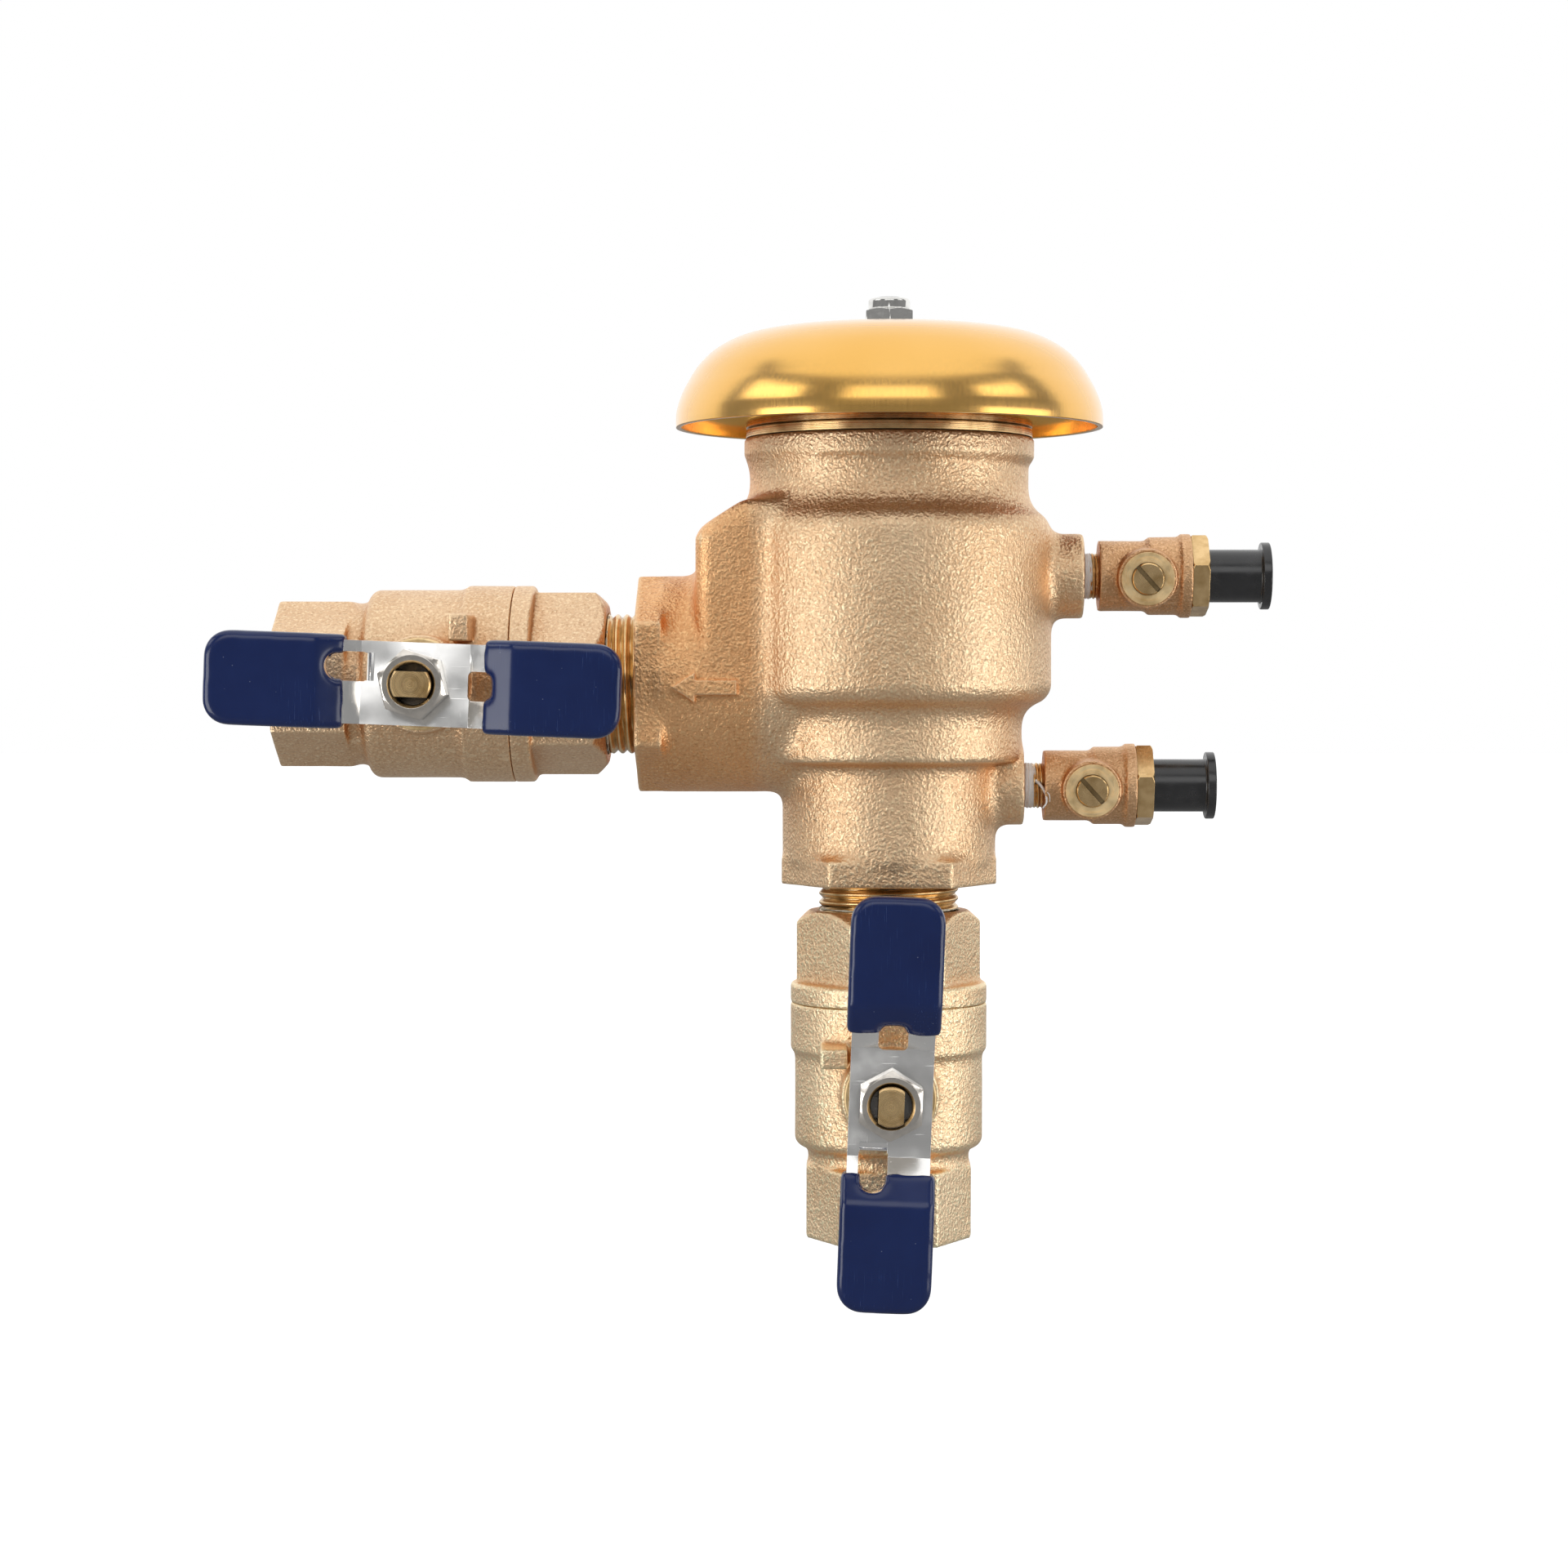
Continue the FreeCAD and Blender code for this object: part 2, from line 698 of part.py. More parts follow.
def air_inlet():
    """The float that closes the air inlet under pressure, at rest at the foot of its travel."""
    disc_top = dim.air_seat_height - dim.float_travel - FIT
    disc_bottom = disc_top - 3
    keep("air_inlet_float", turned("float_turning", [
        (0, disc_bottom - 6),
        (dim.float_radius - 8, disc_bottom - 6),
        (dim.float_radius, disc_bottom - 1.5),
        (dim.float_radius, disc_bottom),
        (dim.float_stem_radius + 4, disc_bottom),
        (dim.float_stem_radius + 4, disc_top - FIT),
        (dim.float_stem_radius, disc_top - FIT),
        (dim.float_stem_radius, dim.air_seat_height + 18),
        (0, dim.air_seat_height + 18),
    ]))
    keep("air_inlet_disc", turned("float_disc", [
        (dim.float_stem_radius + 4 + FIT, disc_bottom + FIT),
        (dim.float_radius - 0.5, disc_bottom + FIT),
        (dim.float_radius - 0.5, disc_top),
        (dim.float_stem_radius + 4 + FIT, disc_top),
    ]))
    keep("air_inlet_retainer", turned("float_washer", [
        (dim.float_stem_radius + FIT, disc_top + FIT),
        (12, disc_top + FIT),
        (11, disc_top + 1.6),
        (dim.float_stem_radius + FIT, disc_top + 1.6),
    ]))
    keep("air_inlet_spring", helix_spring(
        "float_coil", dim.float_spring_radius, disc_top + 1.7, dim.bonnet_flange_top + 0.9, 4,
    ))


def canopy():
    """The spun canopy with its stud, lock nut and nylon insert."""
    sheet = dim.canopy_sheet
    rim = dim.canopy_radius
    top = dim.canopy_top
    keep("canopy", turned("canopy_shell", [
        (dim.stud_radius + 0.2, top),
        (dim.stud_radius + 0.2, top - sheet),
        (14, top - sheet),
        (35.4, top - 2.9 - sheet, -90),
        (46.3, top - 12.4 - 0.3, -16),
        (rim - sheet, dim.canopy_rim, -36),
        (rim, dim.canopy_rim),
        (47.5, top - 12.4, 36),
        (36, top - 2.9, 17),
        (14, top, 90),
    ]))
    height = dim.canopy_nut_height
    keep("canopy_stud", cylinder("stud", dim.stud_radius, dim.bonnet_flange_top + 18, top + height + 0.2))
    hexagonal = padded(
        "lock_nut_hexagon", "XY_Plane", hexagon(dim.canopy_nut_flats, turn=30), top, top + height,
    )
    collar = turned("lock_nut_envelope", [
        (dim.stud_radius, top),
        (dim.canopy_nut_flats * 0.53, top),
        (dim.canopy_nut_flats * 0.6, top + 0.6),
        (dim.canopy_nut_flats * 0.6, top + height - 3.2),
        (dim.canopy_nut_flats / 2 - 0.5, top + height - 2.4),
        (dim.canopy_nut_flats / 2 - 0.5, top + height - 0.9),
        (dim.canopy_nut_flats / 2 - 1.4, top + height, 0.9),
        (dim.stud_radius + 0.7, top + height),
        (dim.stud_radius + 0.7, top + height - 2.4),
        (dim.stud_radius, top + height - 2.4),
    ])
    keep("canopy_nut", shared("lock_nut", hexagonal, collar))
    keep("canopy_nut_insert", turned("nylon_ring", [
        (dim.stud_radius, top + height - 2.4),
        (dim.stud_radius + 0.7, top + height - 2.4),
        (dim.stud_radius + 0.7, top + height - 0.4),
        (dim.stud_radius, top + height - 0.4),
    ]))


# ---------------------------------------------------------------- ball valves


def valve_body(label, frame):
    """The cast half of a ball valve, with the hexagon end, stem boss and two stop lugs."""
    centre = dim.valve_stem_offset
    barrel = turned(f"{label}_barrel", [
        (0, 1),
        (dim.end_hex_trim - 0.4, 1),
        (dim.end_hex_trim - 0.4, dim.end_hex_length + 3),
        (dim.valve_radius - 2.5, dim.end_hex_length + 4),
        (dim.valve_radius, dim.end_hex_length + 6.5, 2.5),
        (dim.valve_radius, dim.band_start - 0.6),
        (dim.band_radius, dim.band_start + 0.4),
        (dim.band_radius, dim.joint_plane),
        (0, dim.joint_plane),
    ])
    hexagonal = padded(
        f"{label}_hexagon", "XY_Plane", trimmed_hexagon(dim.end_hex_flats, dim.end_hex_trim),
        0, dim.end_hex_length,
    )
    boss = cylinder(f"{label}_stem_boss", dim.gland_radius + 0.6, -dim.gland_reach + 1.5, -10, "Y")
    closed_lug = block(
        f"{label}_closed_lug",
        (-16.3, -dim.stop_lug_reach, centre + 7.2), (-10, -15, centre + 11.8),
    )
    open_lug = block(
        f"{label}_open_lug",
        (0.1, -dim.stop_lug_reach, centre - 14.6), (6, -15, centre - 11.0),
    )
    inside = turned(f"{label}_inside", [
        (0, -1),
        (dim.tapped_radius, -1),
        (dim.tapped_radius, dim.tapped_depth),
        (dim.waterway_radius, dim.tapped_depth),
        (dim.waterway_radius, centre - 13.8),
        (dim.ball_cavity_radius, centre - 13.8),
        (dim.ball_cavity_radius, centre + 9.7),
        (dim.tail_thread_radius + FIT, centre + 9.7),
        (dim.tail_thread_radius + FIT, dim.joint_plane + 1),
        (0, dim.joint_plane + 1),
    ])
    stem_hole = moved(cylinder(f"{label}_stem_hole", dim.stem_radius + FIT, -40, -5, "Y"), z=centre)
    gland_room = moved(cylinder(f"{label}_gland_room", 8.1 + FIT, -40, -21, "Y"), z=centre)
    shoulder_room = moved(cylinder(f"{label}_shoulder_room", 7.2, -19, -5, "Y"), z=centre)
    solid = fused(f"{label}_solid", barrel, hexagonal, moved(boss, z=centre), closed_lug, open_lug)
    keep(label, cut(f"{label}_casting", solid, inside, stem_hole, gland_room, shoulder_room), frame)


def valve_tailpiece(label, frame, turn):
    """The end of a ball valve that screws into its cast half and holds the second seat."""
    centre = dim.valve_stem_offset
    start = dim.joint_plane + FIT
    spigot = turned(f"{label}_spigot", [
        (0, centre + 9.8),
        (dim.tail_thread_radius, centre + 9.8),
        (dim.tail_thread_radius, start),
        (dim.band_radius, start),
        (dim.band_radius, dim.band_end - 0.8),
        (dim.band_radius - 0.8, dim.band_end, 0.8),
        (0, dim.band_end),
    ])
    hexagonal = padded(
        f"{label}_hexagon", "XY_Plane", hexagon(dim.tail_hex_flats, turn),
        dim.band_end - 1, dim.valve_length,
    )
    cone = turned(f"{label}_cone", [
        (0, dim.band_end - 1),
        (dim.tail_hex_flats, dim.band_end - 1),
        (dim.tail_hex_flats, dim.tail_hex_end - 4),
        (dim.tail_hex_flats * 0.58, dim.tail_hex_end),
        (dim.tail_face_radius, dim.valve_length),
        (0, dim.valve_length),
    ])
    inside = turned(f"{label}_inside", [
        (0, centre),
        (dim.ball_seat_radius + FIT, centre),
        (dim.ball_seat_radius + FIT, centre + 13.8),
        (dim.waterway_radius, centre + 13.8),
        (dim.waterway_radius, dim.valve_length - dim.tapped_depth),
        (dim.tapped_radius, dim.valve_length - dim.tapped_depth),
        (dim.tapped_radius, dim.valve_length + 1),
        (0, dim.valve_length + 1),
    ])
    solid = fused(f"{label}_solid", spigot, shared(f"{label}_chamfered", hexagonal, cone))
    keep(label, cut(f"{label}_turned", solid, inside), frame)


def valve_seats(label, frame):
    """The two seat rings that hold the ball."""
    centre = dim.valve_stem_offset
    rings = []
    for number, side in enumerate((-1, 1)):
        far = centre + 13.8 * side
        near = far - dim.ball_seat_length * side
        outline = [
            (dim.waterway_radius + 0.1, far),
            (dim.ball_seat_radius, far),
            (dim.ball_seat_radius, near),
            (14.65, near),
        ]
        rings.append(turned(f"{label}_ring_{number}", outline))
    keep(label, fused(f"{label}_pair", *rings), frame)


def valve_stem(label, frame):
    """The brass stem: its tongue turns the ball, and its flats hold the handle."""
    turning = turned(f"{label}_turning", [
        (0, -13.6),
        (7, -13.6),
        (7, -18.9),
        (dim.stem_radius, -18.9),
        (dim.stem_radius, -dim.stem_reach + 0.4),
        (dim.stem_radius - 0.4, -dim.stem_reach),
        (0, -dim.stem_reach),
    ][::-1], "XY_Plane")
    tools = []
    for side in (-1, 1):
        flat = sorted((side * 2.95, side * 10))
        tools.append(block(f"{label}_tongue_side_{side + 1}", (flat[0], -17.1, -10), (flat[1], -13, 10)))
        edge = dim.stem_flats / 2
        low = edge if side > 0 else -edge - 6
        tools.append(block(
            f"{label}_flat_{side + 1}",
            (low, -dim.stem_reach - 1, -10), (low + 6, -dim.handle_reach, 10),
        ))
    keep(label, cut(f"{label}_flatted", turning, *tools), frame)


def valve_ball(label, frame):
    """The ball, bored through along the valve, with a slot for the stem's tongue."""
    sphere = doc.addObject("Part::Sphere", f"{label}_sphere")
    bind(sphere, "Radius", dim.ball_radius)
    bore = cylinder(f"{label}_bore", 11.0, -20, 20)
    slot = block(f"{label}_slot", (-3.05, -20, -12), (3.05, -13.5, 12))
    keep(label, cut(f"{label}_bored", sphere, bore, slot), frame)


def valve_trim(prefix, frame):
    """Stem packing and the brass gland that presses on it."""
    packing = turned(f"{prefix}_packing_ring", [
        (dim.stem_radius + FIT, -21.05),
        (8.1, -21.05),
        (8.1, -23.6),
        (dim.stem_radius + FIT, -23.6),
    ][::-1], "XY_Plane")
    gland = turned(f"{prefix}_gland_turning", [
        (dim.stem_radius + FIT, -23.65),
        (8.1, -23.65),
        (8.1, -dim.gland_reach + 1.45),
        (dim.gland_radius, -dim.gland_reach + 1.45),
        (dim.gland_radius, -dim.gland_reach + 0.3),
        (dim.gland_radius - 0.3, -dim.gland_reach),
        (dim.stem_radius + FIT, -dim.gland_reach),
    ][::-1], "XY_Plane")
    keep(f"{prefix}_stem_packing", packing, frame)
    keep(f"{prefix}_gland", gland, frame)


def strip_profile(half_length, sheet, middle_reach):
    """The side view of the joggled handle strip, as (y, z) corners."""
    half = sheet / 2
    upper = [
        (dim.handle_flat_end, 0),
        (dim.handle_wing_start, dim.handle_rise),
        (half_length, dim.handle_rise),
    ]
    lower = [(-along, rise) for along, rise in reversed(upper)]
    path = lower + upper
    front = [(-middle_reach - rise - half, along) for along, rise in path]
    back = [(-middle_reach - rise + half, along) for along, rise in path]
    return back + front[::-1]


def slots(prefix, lining):
    """The tools that cut a handle's two slots, narrower where vinyl lines them."""
    half = dim.slot_width / 2 - lining
    offset = dim.long_slot_offset
    long_slot = padded(f"{prefix}_long_slot", "XZ_Plane", [
        (-offset - half, -dim.long_slot_near),
        (-offset - half, -dim.long_slot_far + half),
        (-offset + half, -dim.long_slot_far + half, half * 1.04),
        (-offset + half, -dim.long_slot_near),
    ], 20, 60)
    short_slot = padded(f"{prefix}_short_slot", "XZ_Plane", rounded_rectangle(
        -half, half, dim.short_slot_near, dim.short_slot_far - lining, 1.2,
    ), 20, 60)
    return [long_slot, short_slot]


def handle(prefix, frame, nut_turn):
    """A T handle: joggled steel plate with a stop tab, two dipped grips and its nut."""
    reach = dim.handle_reach
    sheet = dim.handle_sheet
    middle = reach + sheet / 2
    width = dim.handle_half_width
    length = dim.handle_half_length
    corner = dim.handle_tip_corner
    plan = padded(
        f"{prefix}_plan", "XZ_Plane",
        rounded_rectangle(-width, width, -length, length, corner), 20, 60,
    )
    side = padded(f"{prefix}_side", "YZ_Plane", strip_profile(length + 1, sheet, middle), -30, 30)
    stem_hole = shared(
        f"{prefix}_stem_hole",
        cylinder(f"{prefix}_round_hole", dim.stem_radius + FIT, -60, -20, "Y"),
        block(
            f"{prefix}_flat_hole",
            (-dim.stem_flats / 2 - FIT, -60, -10), (dim.stem_flats / 2 + FIT, -20, 10),
        ),
    )
    tab_edge = dim.slot_width / 2 - 0.2
    tab = block(
        f"{prefix}_stop_tab",
        (-dim.long_slot_offset - tab_edge, -reach - 1, -dim.long_slot_near),
        (-dim.long_slot_offset + tab_edge, -dim.stop_tab_reach, -dim.long_slot_near + sheet),
    )
    bend_space = block(
        f"{prefix}_bend_space",
        (-dim.long_slot_offset - tab_edge, -reach - sheet - 1, -dim.long_slot_near - 1),
        (-dim.long_slot_offset + tab_edge, -reach, -dim.long_slot_near + sheet),
    )
    bend = cylinder(f"{prefix}_bend", sheet, -15, 15, "X")
    moved(bend, y=-reach, z=-dim.long_slot_near + sheet)
    strip = cut(
        f"{prefix}_bent", fused(f"{prefix}_tabbed", shared(f"{prefix}_strip", plan, side), tab),
        cut(f"{prefix}_bend_corner", bend_space, bend),
    )
    plate = cut(f"{prefix}_plate_cut", strip, stem_hole, *slots(f"{prefix}_plate", 0))
    plate_room = cut(f"{prefix}_plate_room", strip, *slots(f"{prefix}_room", 0))
    vinyl = dim.vinyl_thickness
    skin_plan = padded(f"{prefix}_skin_plan", "XZ_Plane", rounded_rectangle(
        -width - vinyl, width + vinyl, -length - vinyl, length + vinyl, corner + vinyl,
    ), 20, 60)
    skin_side = padded(
        f"{prefix}_skin_side", "YZ_Plane",
        strip_profile(length + 2, sheet + 2 * vinyl, middle), -30, 30,
    )
    middle_gap = block(
        f"{prefix}_bare_middle", (-30, -60, -dim.vinyl_start), (30, -20, dim.vinyl_start),
    )
    skin = shared(f"{prefix}_skin", skin_plan, skin_side)
    lined_slots = slots(f"{prefix}_grips", dim.slot_lining)
    grips = cut(f"{prefix}_grips_cut", skin, middle_gap, plate_room, *lined_slots)
    front = reach + sheet + FIT
    nut_envelope = turned(f"{prefix}_nut_envelope", [
        (dim.stem_radius + FIT, -front),
        (dim.handle_nut_flats * 0.55, -front),
        (dim.handle_nut_flats * 0.6, -front - 0.5),
        (dim.handle_nut_flats * 0.6, -front - dim.handle_nut_height + 1.2),
        (dim.handle_nut_flats * 0.47, -front - dim.handle_nut_height),
        (dim.stem_radius + 0.8, -front - dim.handle_nut_height),
        (dim.stem_radius + FIT, -front - dim.handle_nut_height + 0.75),
    ][::-1], "XY_Plane")
    nut_hexagon = padded(
        f"{prefix}_nut_hexagon", "XZ_Plane", hexagon(dim.handle_nut_flats, 30 + nut_turn), front, 60,
    )
    keep(f"{prefix}_handle_plate", plate, frame)
    keep(f"{prefix}_handle_grips", grips, frame)
    keep(f"{prefix}_handle_nut", shared(f"{prefix}_nut", nut_envelope, nut_hexagon), frame)


def ball_valve(prefix, position, turn, tail_turn, nut_turn):
    """A whole ball valve; turn is the rotation about Y that lays its Z axis along the pipe."""
    frame = (position, Rotation(Vector(0, 1, 0), turn))
    along = Vector(math.sin(math.radians(turn)), 0, math.cos(math.radians(turn)))
    pivot = [place + dim.valve_stem_offset * part for place, part in zip(position, along)]
    moving = (pivot, Rotation(Vector(0, 1, 0), turn + dim.handle_tilt.value))
    valve_body(f"{prefix}_valve_body", frame)
    valve_tailpiece(f"{prefix}_valve_tailpiece", frame, tail_turn)
    valve_seats(f"{prefix}_ball_seats", frame)
    valve_trim(prefix, (pivot, Rotation(Vector(0, 1, 0), turn)))
    valve_ball(f"{prefix}_ball", moving)
    valve_stem(f"{prefix}_stem", moving)
    handle(prefix, moving, nut_turn)


# ---------------------------------------------------------------- test cocks


def cock_body(label, frame):
    """The cast cock body, with its threaded neck and stem boss."""
    offset = dim.cock_stem_offset
    barrel = turned(f"{label}_barrel", [
        (0, -dim.cock_neck_length),
        (dim.cock_neck_radius, -dim.cock_neck_length),
        (dim.cock_neck_radius, 0),
        (dim.cock_radius, 0),
        (dim.cock_radius, dim.cock_barrel_start),
        (dim.cock_barrel_radius, dim.cock_barrel_start + 1),
        (dim.cock_barrel_radius, dim.cock_band_start - 0.3),
        (dim.cock_band_radius, dim.cock_band_start + 0.3),
        (dim.cock_band_radius, dim.cock_band_end),
        (0, dim.cock_band_end),
    ])
    boss = moved(cylinder(f"{label}_boss", dim.cock_boss_radius, -dim.cock_boss_reach, 0, "Y"), z=offset)
    inside = turned(f"{label}_inside", [
        (0, -dim.cock_neck_length - 1),
        (dim.cock_ball_bore_radius, -dim.cock_neck_length - 1),
        (dim.cock_ball_bore_radius, offset - 5.5),
        (dim.cock_ball_radius + 0.5, offset - 5.5),
        (dim.cock_ball_radius + 0.5, offset + 5.6),
        (dim.cock_ball_radius + 1.2, offset + 5.6),
        (dim.cock_ball_radius + 1.2, dim.cock_band_end + 1),
        (0, dim.cock_band_end + 1),
    ])
    stem_hole = moved(cylinder(f"{label}_stem_hole", dim.cock_stem_radius + FIT, -20, -3, "Y"), z=offset)
    keep(label, cut(f"{label}_casting", fused(f"{label}_solid", barrel, boss), inside, stem_hole), frame)


def cock_end(label, frame):
    """The brass end fitting: a hexagon on a threaded spigot, open for the plug."""
    start = dim.cock_band_end + FIT
    spigot = turned(f"{label}_spigot", [
        (dim.cock_ball_bore_radius, dim.cock_stem_offset + 5.7),
        (dim.cock_ball_radius + 1.15, dim.cock_stem_offset + 5.7),
        (dim.cock_ball_radius + 1.15, start),
        (dim.cock_hex_flats, start),
        (dim.cock_hex_flats, dim.cock_hex_end),
        (dim.plug_spigot_radius + FIT, dim.cock_hex_end),
        (dim.plug_spigot_radius + FIT, dim.cock_hex_end - 7),
        (dim.cock_ball_bore_radius, dim.cock_hex_end - 7),
    ])
    hexagonal = padded(
        f"{label}_hexagon", "XY_Plane", hexagon(dim.cock_hex_flats, 12), start, dim.cock_hex_end,
    )
    round_part = turned(f"{label}_envelope", [
        (0, dim.cock_stem_offset),
        (dim.cock_ball_radius + 1.15, dim.cock_stem_offset),
        (dim.cock_ball_radius + 1.15, start),
        (dim.cock_hex_flats * 0.55, start),
        (dim.cock_hex_flats * 0.58, start + 0.4),
        (dim.cock_hex_flats * 0.58, dim.cock_hex_end - 0.6),
        (dim.cock_hex_flats * 0.54, dim.cock_hex_end),
        (0, dim.cock_hex_end),
    ])
    core = cylinder(f"{label}_core", dim.cock_ball_radius + 1.15, dim.cock_stem_offset, dim.cock_hex_end)
    outside = shared(f"{label}_outside", fused(f"{label}_stock", hexagonal, core), round_part)
    keep(label, shared(f"{label}_turned", outside, spigot), frame)


def cock_seats(label, frame):
    """The two small seat rings of a test cock."""
    rings = []
    for number, side in enumerate((-1, 1)):
        far = dim.cock_stem_offset + 5.45 * side
        rings.append(turned(f"{label}_ring_{number}", [
            (dim.cock_ball_bore_radius + 0.1, far),
            (dim.cock_ball_radius + 0.4, far),
            (dim.cock_ball_radius + 0.4, far - 2 * side),
            (4.1, far - 2 * side),
        ]))
    keep(label, fused(f"{label}_pair", *rings), frame)


def cock_stem(label, frame):
    """The slotted stem with a tongue that turns the ball."""
    turning = turned(f"{label}_turning", [
        (0, -4.4),
        (3.2, -4.4),
        (3.2, -6.2),
        (dim.cock_stem_radius, -6.2),
        (dim.cock_stem_radius, -7.2),
        (dim.cock_stem_radius - 0.8, -7.2),
        (dim.cock_stem_radius - 0.8, -8.6),
        (dim.cock_stem_radius, -8.6),
        (dim.cock_stem_radius, -dim.cock_stem_reach + 0.3),
        (dim.cock_stem_radius - 0.3, -dim.cock_stem_reach),
        (0, -dim.cock_stem_reach),
    ][::-1], "XY_Plane")
    tools = [block(f"{label}_slot", (-0.55, -20, -10), (0.55, -dim.cock_stem_reach + 1.3, 10))]
    for side in (-1, 1):
        flat = sorted((side * 1.0, side * 8))
        tools.append(block(f"{label}_tongue_side_{side + 1}", (flat[0], -5.6, -10), (flat[1], -4, 10)))
    keep(label, cut(f"{label}_slotted", turning, *tools), frame)


def cock_ball(label, frame):
    """The small ball, bored through, with a slot for the tongue."""
    sphere = doc.addObject("Part::Sphere", f"{label}_sphere")
    bind(sphere, "Radius", dim.cock_ball_radius)
    bore = cylinder(f"{label}_bore", dim.cock_ball_bore_radius, -10, 10)
    slot = block(f"{label}_slot", (-1.05, -10, -6), (1.05, -4.35, 6))
    keep(label, cut(f"{label}_bored", sphere, bore, slot), frame)


def cock_trim(prefix, frame):
    """The stem ring on the boss and the O-ring on the stem."""
    ring = turned(f"{prefix}_ring_turning", [
        (dim.cock_stem_radius + FIT, -dim.cock_boss_reach - FIT),
        (dim.cock_ring_radius, -dim.cock_boss_reach - FIT),
        (dim.cock_ring_radius, -dim.cock_ring_reach),
        (dim.cock_stem_radius + FIT, -dim.cock_ring_reach),
    ][::-1], "XY_Plane")
    keep(f"{prefix}_stem_ring", ring, frame)
    position, turn = frame
    seal = torus(f"{prefix}_seal", dim.cock_stem_radius - 0.4, 0.38)
    groove = turn.multVec(Vector(0, -7.9, 0))
    across = turn * Rotation(Vector(1, 0, 0), 90)
    keep(f"{prefix}_stem_o_ring", seal, ([place + part for place, part in zip(position, groove)], across))


def cock_plug(label, frame):
    """The hollow plastic plug pushed into the cock's open end."""
    end = dim.cock_hex_end + FIT
    keep(label, turned(f"{label}_turning", [
        (0, end - 6),
        (dim.plug_spigot_radius - 0.3, end - 6),
        (dim.plug_spigot_radius, end),
        (dim.plug_radius, end),
        (dim.plug_radius, dim.plug_flange_start - 0.5),
        (dim.plug_radius + 0.5, dim.plug_flange_start, -0.5),
        (dim.plug_flange_radius - 0.3, dim.plug_flange_start),
        (dim.plug_flange_radius, dim.plug_flange_start + 0.3, 0.3),
        (dim.plug_flange_radius, dim.plug_end - 0.3),
        (dim.plug_flange_radius - 0.3, dim.plug_end, 0.3),
        (dim.plug_radius - dim.plug_wall, dim.plug_end),
        (dim.plug_radius - dim.plug_wall, end + 1.5),
        (0, end + 1.5),
    ]), frame)


def thread_tape(label, frame, length):
    """The thread tape that shows between the boss and the cock."""
    keep(label, turned(f"{label}_wrap", [
        (dim.cock_neck_radius + FIT, -length + FIT),
        (dim.cock_neck_radius + 0.55, -length + FIT),
        (dim.cock_neck_radius + 0.55, -length * 0.35),
        (dim.cock_neck_radius + 0.3, -0.5),
        (dim.cock_neck_radius + FIT, -0.5),
    ]), frame)


def test_cock(prefix, start, boss_reach, height, slot_turn):
    """A whole test cock along +X, rolled a little about its own axis."""
    lay = Rotation(Vector(1, 0, 0), dim.cock_roll.value) * Rotation(Vector(0, 1, 0), 90)
    position = [start, as_size(0), height]
    frame = (position, lay)
    centre = [start + dim.cock_stem_offset, as_size(0), height]
    turned_stem = lay * Rotation(Vector(0, 1, 0), slot_turn)
    cock_body(f"{prefix}_body", frame)
    cock_end(f"{prefix}_end_fitting", frame)
    cock_seats(f"{prefix}_seats", frame)
    cock_trim(prefix, (centre, lay))
    cock_ball(f"{prefix}_ball", (centre, turned_stem))
    cock_stem(f"{prefix}_stem", (centre, turned_stem))
    cock_plug(f"{prefix}_plug", frame)
    thread_tape(f"{prefix}_thread_tape", frame, start - boss_reach)


# ---------------------------------------------------------------- assembly


def assemble():
    """Make every piece in its place."""
    body_casting()
    engaged = (dim.nipple_length - (dim.inlet_collar_bottom - dim.valve_length)) / 2
    nipple("inlet_nipple", ([0, 0, dim.valve_length - engaged], Rotation()))
    outlet_tail = dim.outlet_valve_end_reach - dim.valve_length
    engaged_side = (dim.nipple_length - (outlet_tail - dim.outlet_collar_reach)) / 2
    nipple(
        "outlet_nipple",
        ([-outlet_tail - engaged_side, 0, dim.outlet_axis_height], Rotation(Vector(0, 1, 0), 90)),
    )
    check_valve()
    bonnet()
    air_inlet()
    canopy()
    origin = [as_size(0)] * 3
    outlet_end = [-dim.outlet_valve_end_reach, as_size(0), dim.outlet_axis_height]
    ball_valve("inlet", origin, 0, tail_turn=5.5, nut_turn=0)
    ball_valve("outlet", outlet_end, 90, tail_turn=10, nut_turn=-15)
    turn = dim.cock_slot_turn.value
    test_cock("upper_cock", dim.upper_cock_start, dim.upper_boss_reach, dim.upper_boss_height, turn)
    test_cock("lower_cock", dim.lower_cock_start, dim.lower_boss_reach, dim.lower_boss_height, turn)


def check_and_write():
    """Stop if anything failed to build, then write one STEP file for each piece."""
    doc.recompute()
    for item in doc.Objects:
        if "Invalid" in item.State or "Error" in item.State:
            raise RuntimeError(f"{item.Name} failed: {item.State}")
    os.makedirs("parts", exist_ok=True)
    for item in nodes:
        shape = item.Shape
        if shape.isNull() or not shape.isValid() or not shape.Solids:
            raise RuntimeError(f"{item.Label} has no valid solid")
        shape.exportStep(os.path.join("parts", f"{item.Label}.step"))
        print(f"{item.Label}: {len(shape.Solids)} solids, {shape.Volume / 1000:.2f} cm3")


assemble()
check_and_write()
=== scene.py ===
"""Looks of the pressure vacuum breaker: castings, canopy, handles, threads, tape, light and camera."""

import math

import bpy
import numpy as np
from mathutils import Matrix, Vector
from mathutils.geometry import interpolate_bezier
from mathutils.noise import noise


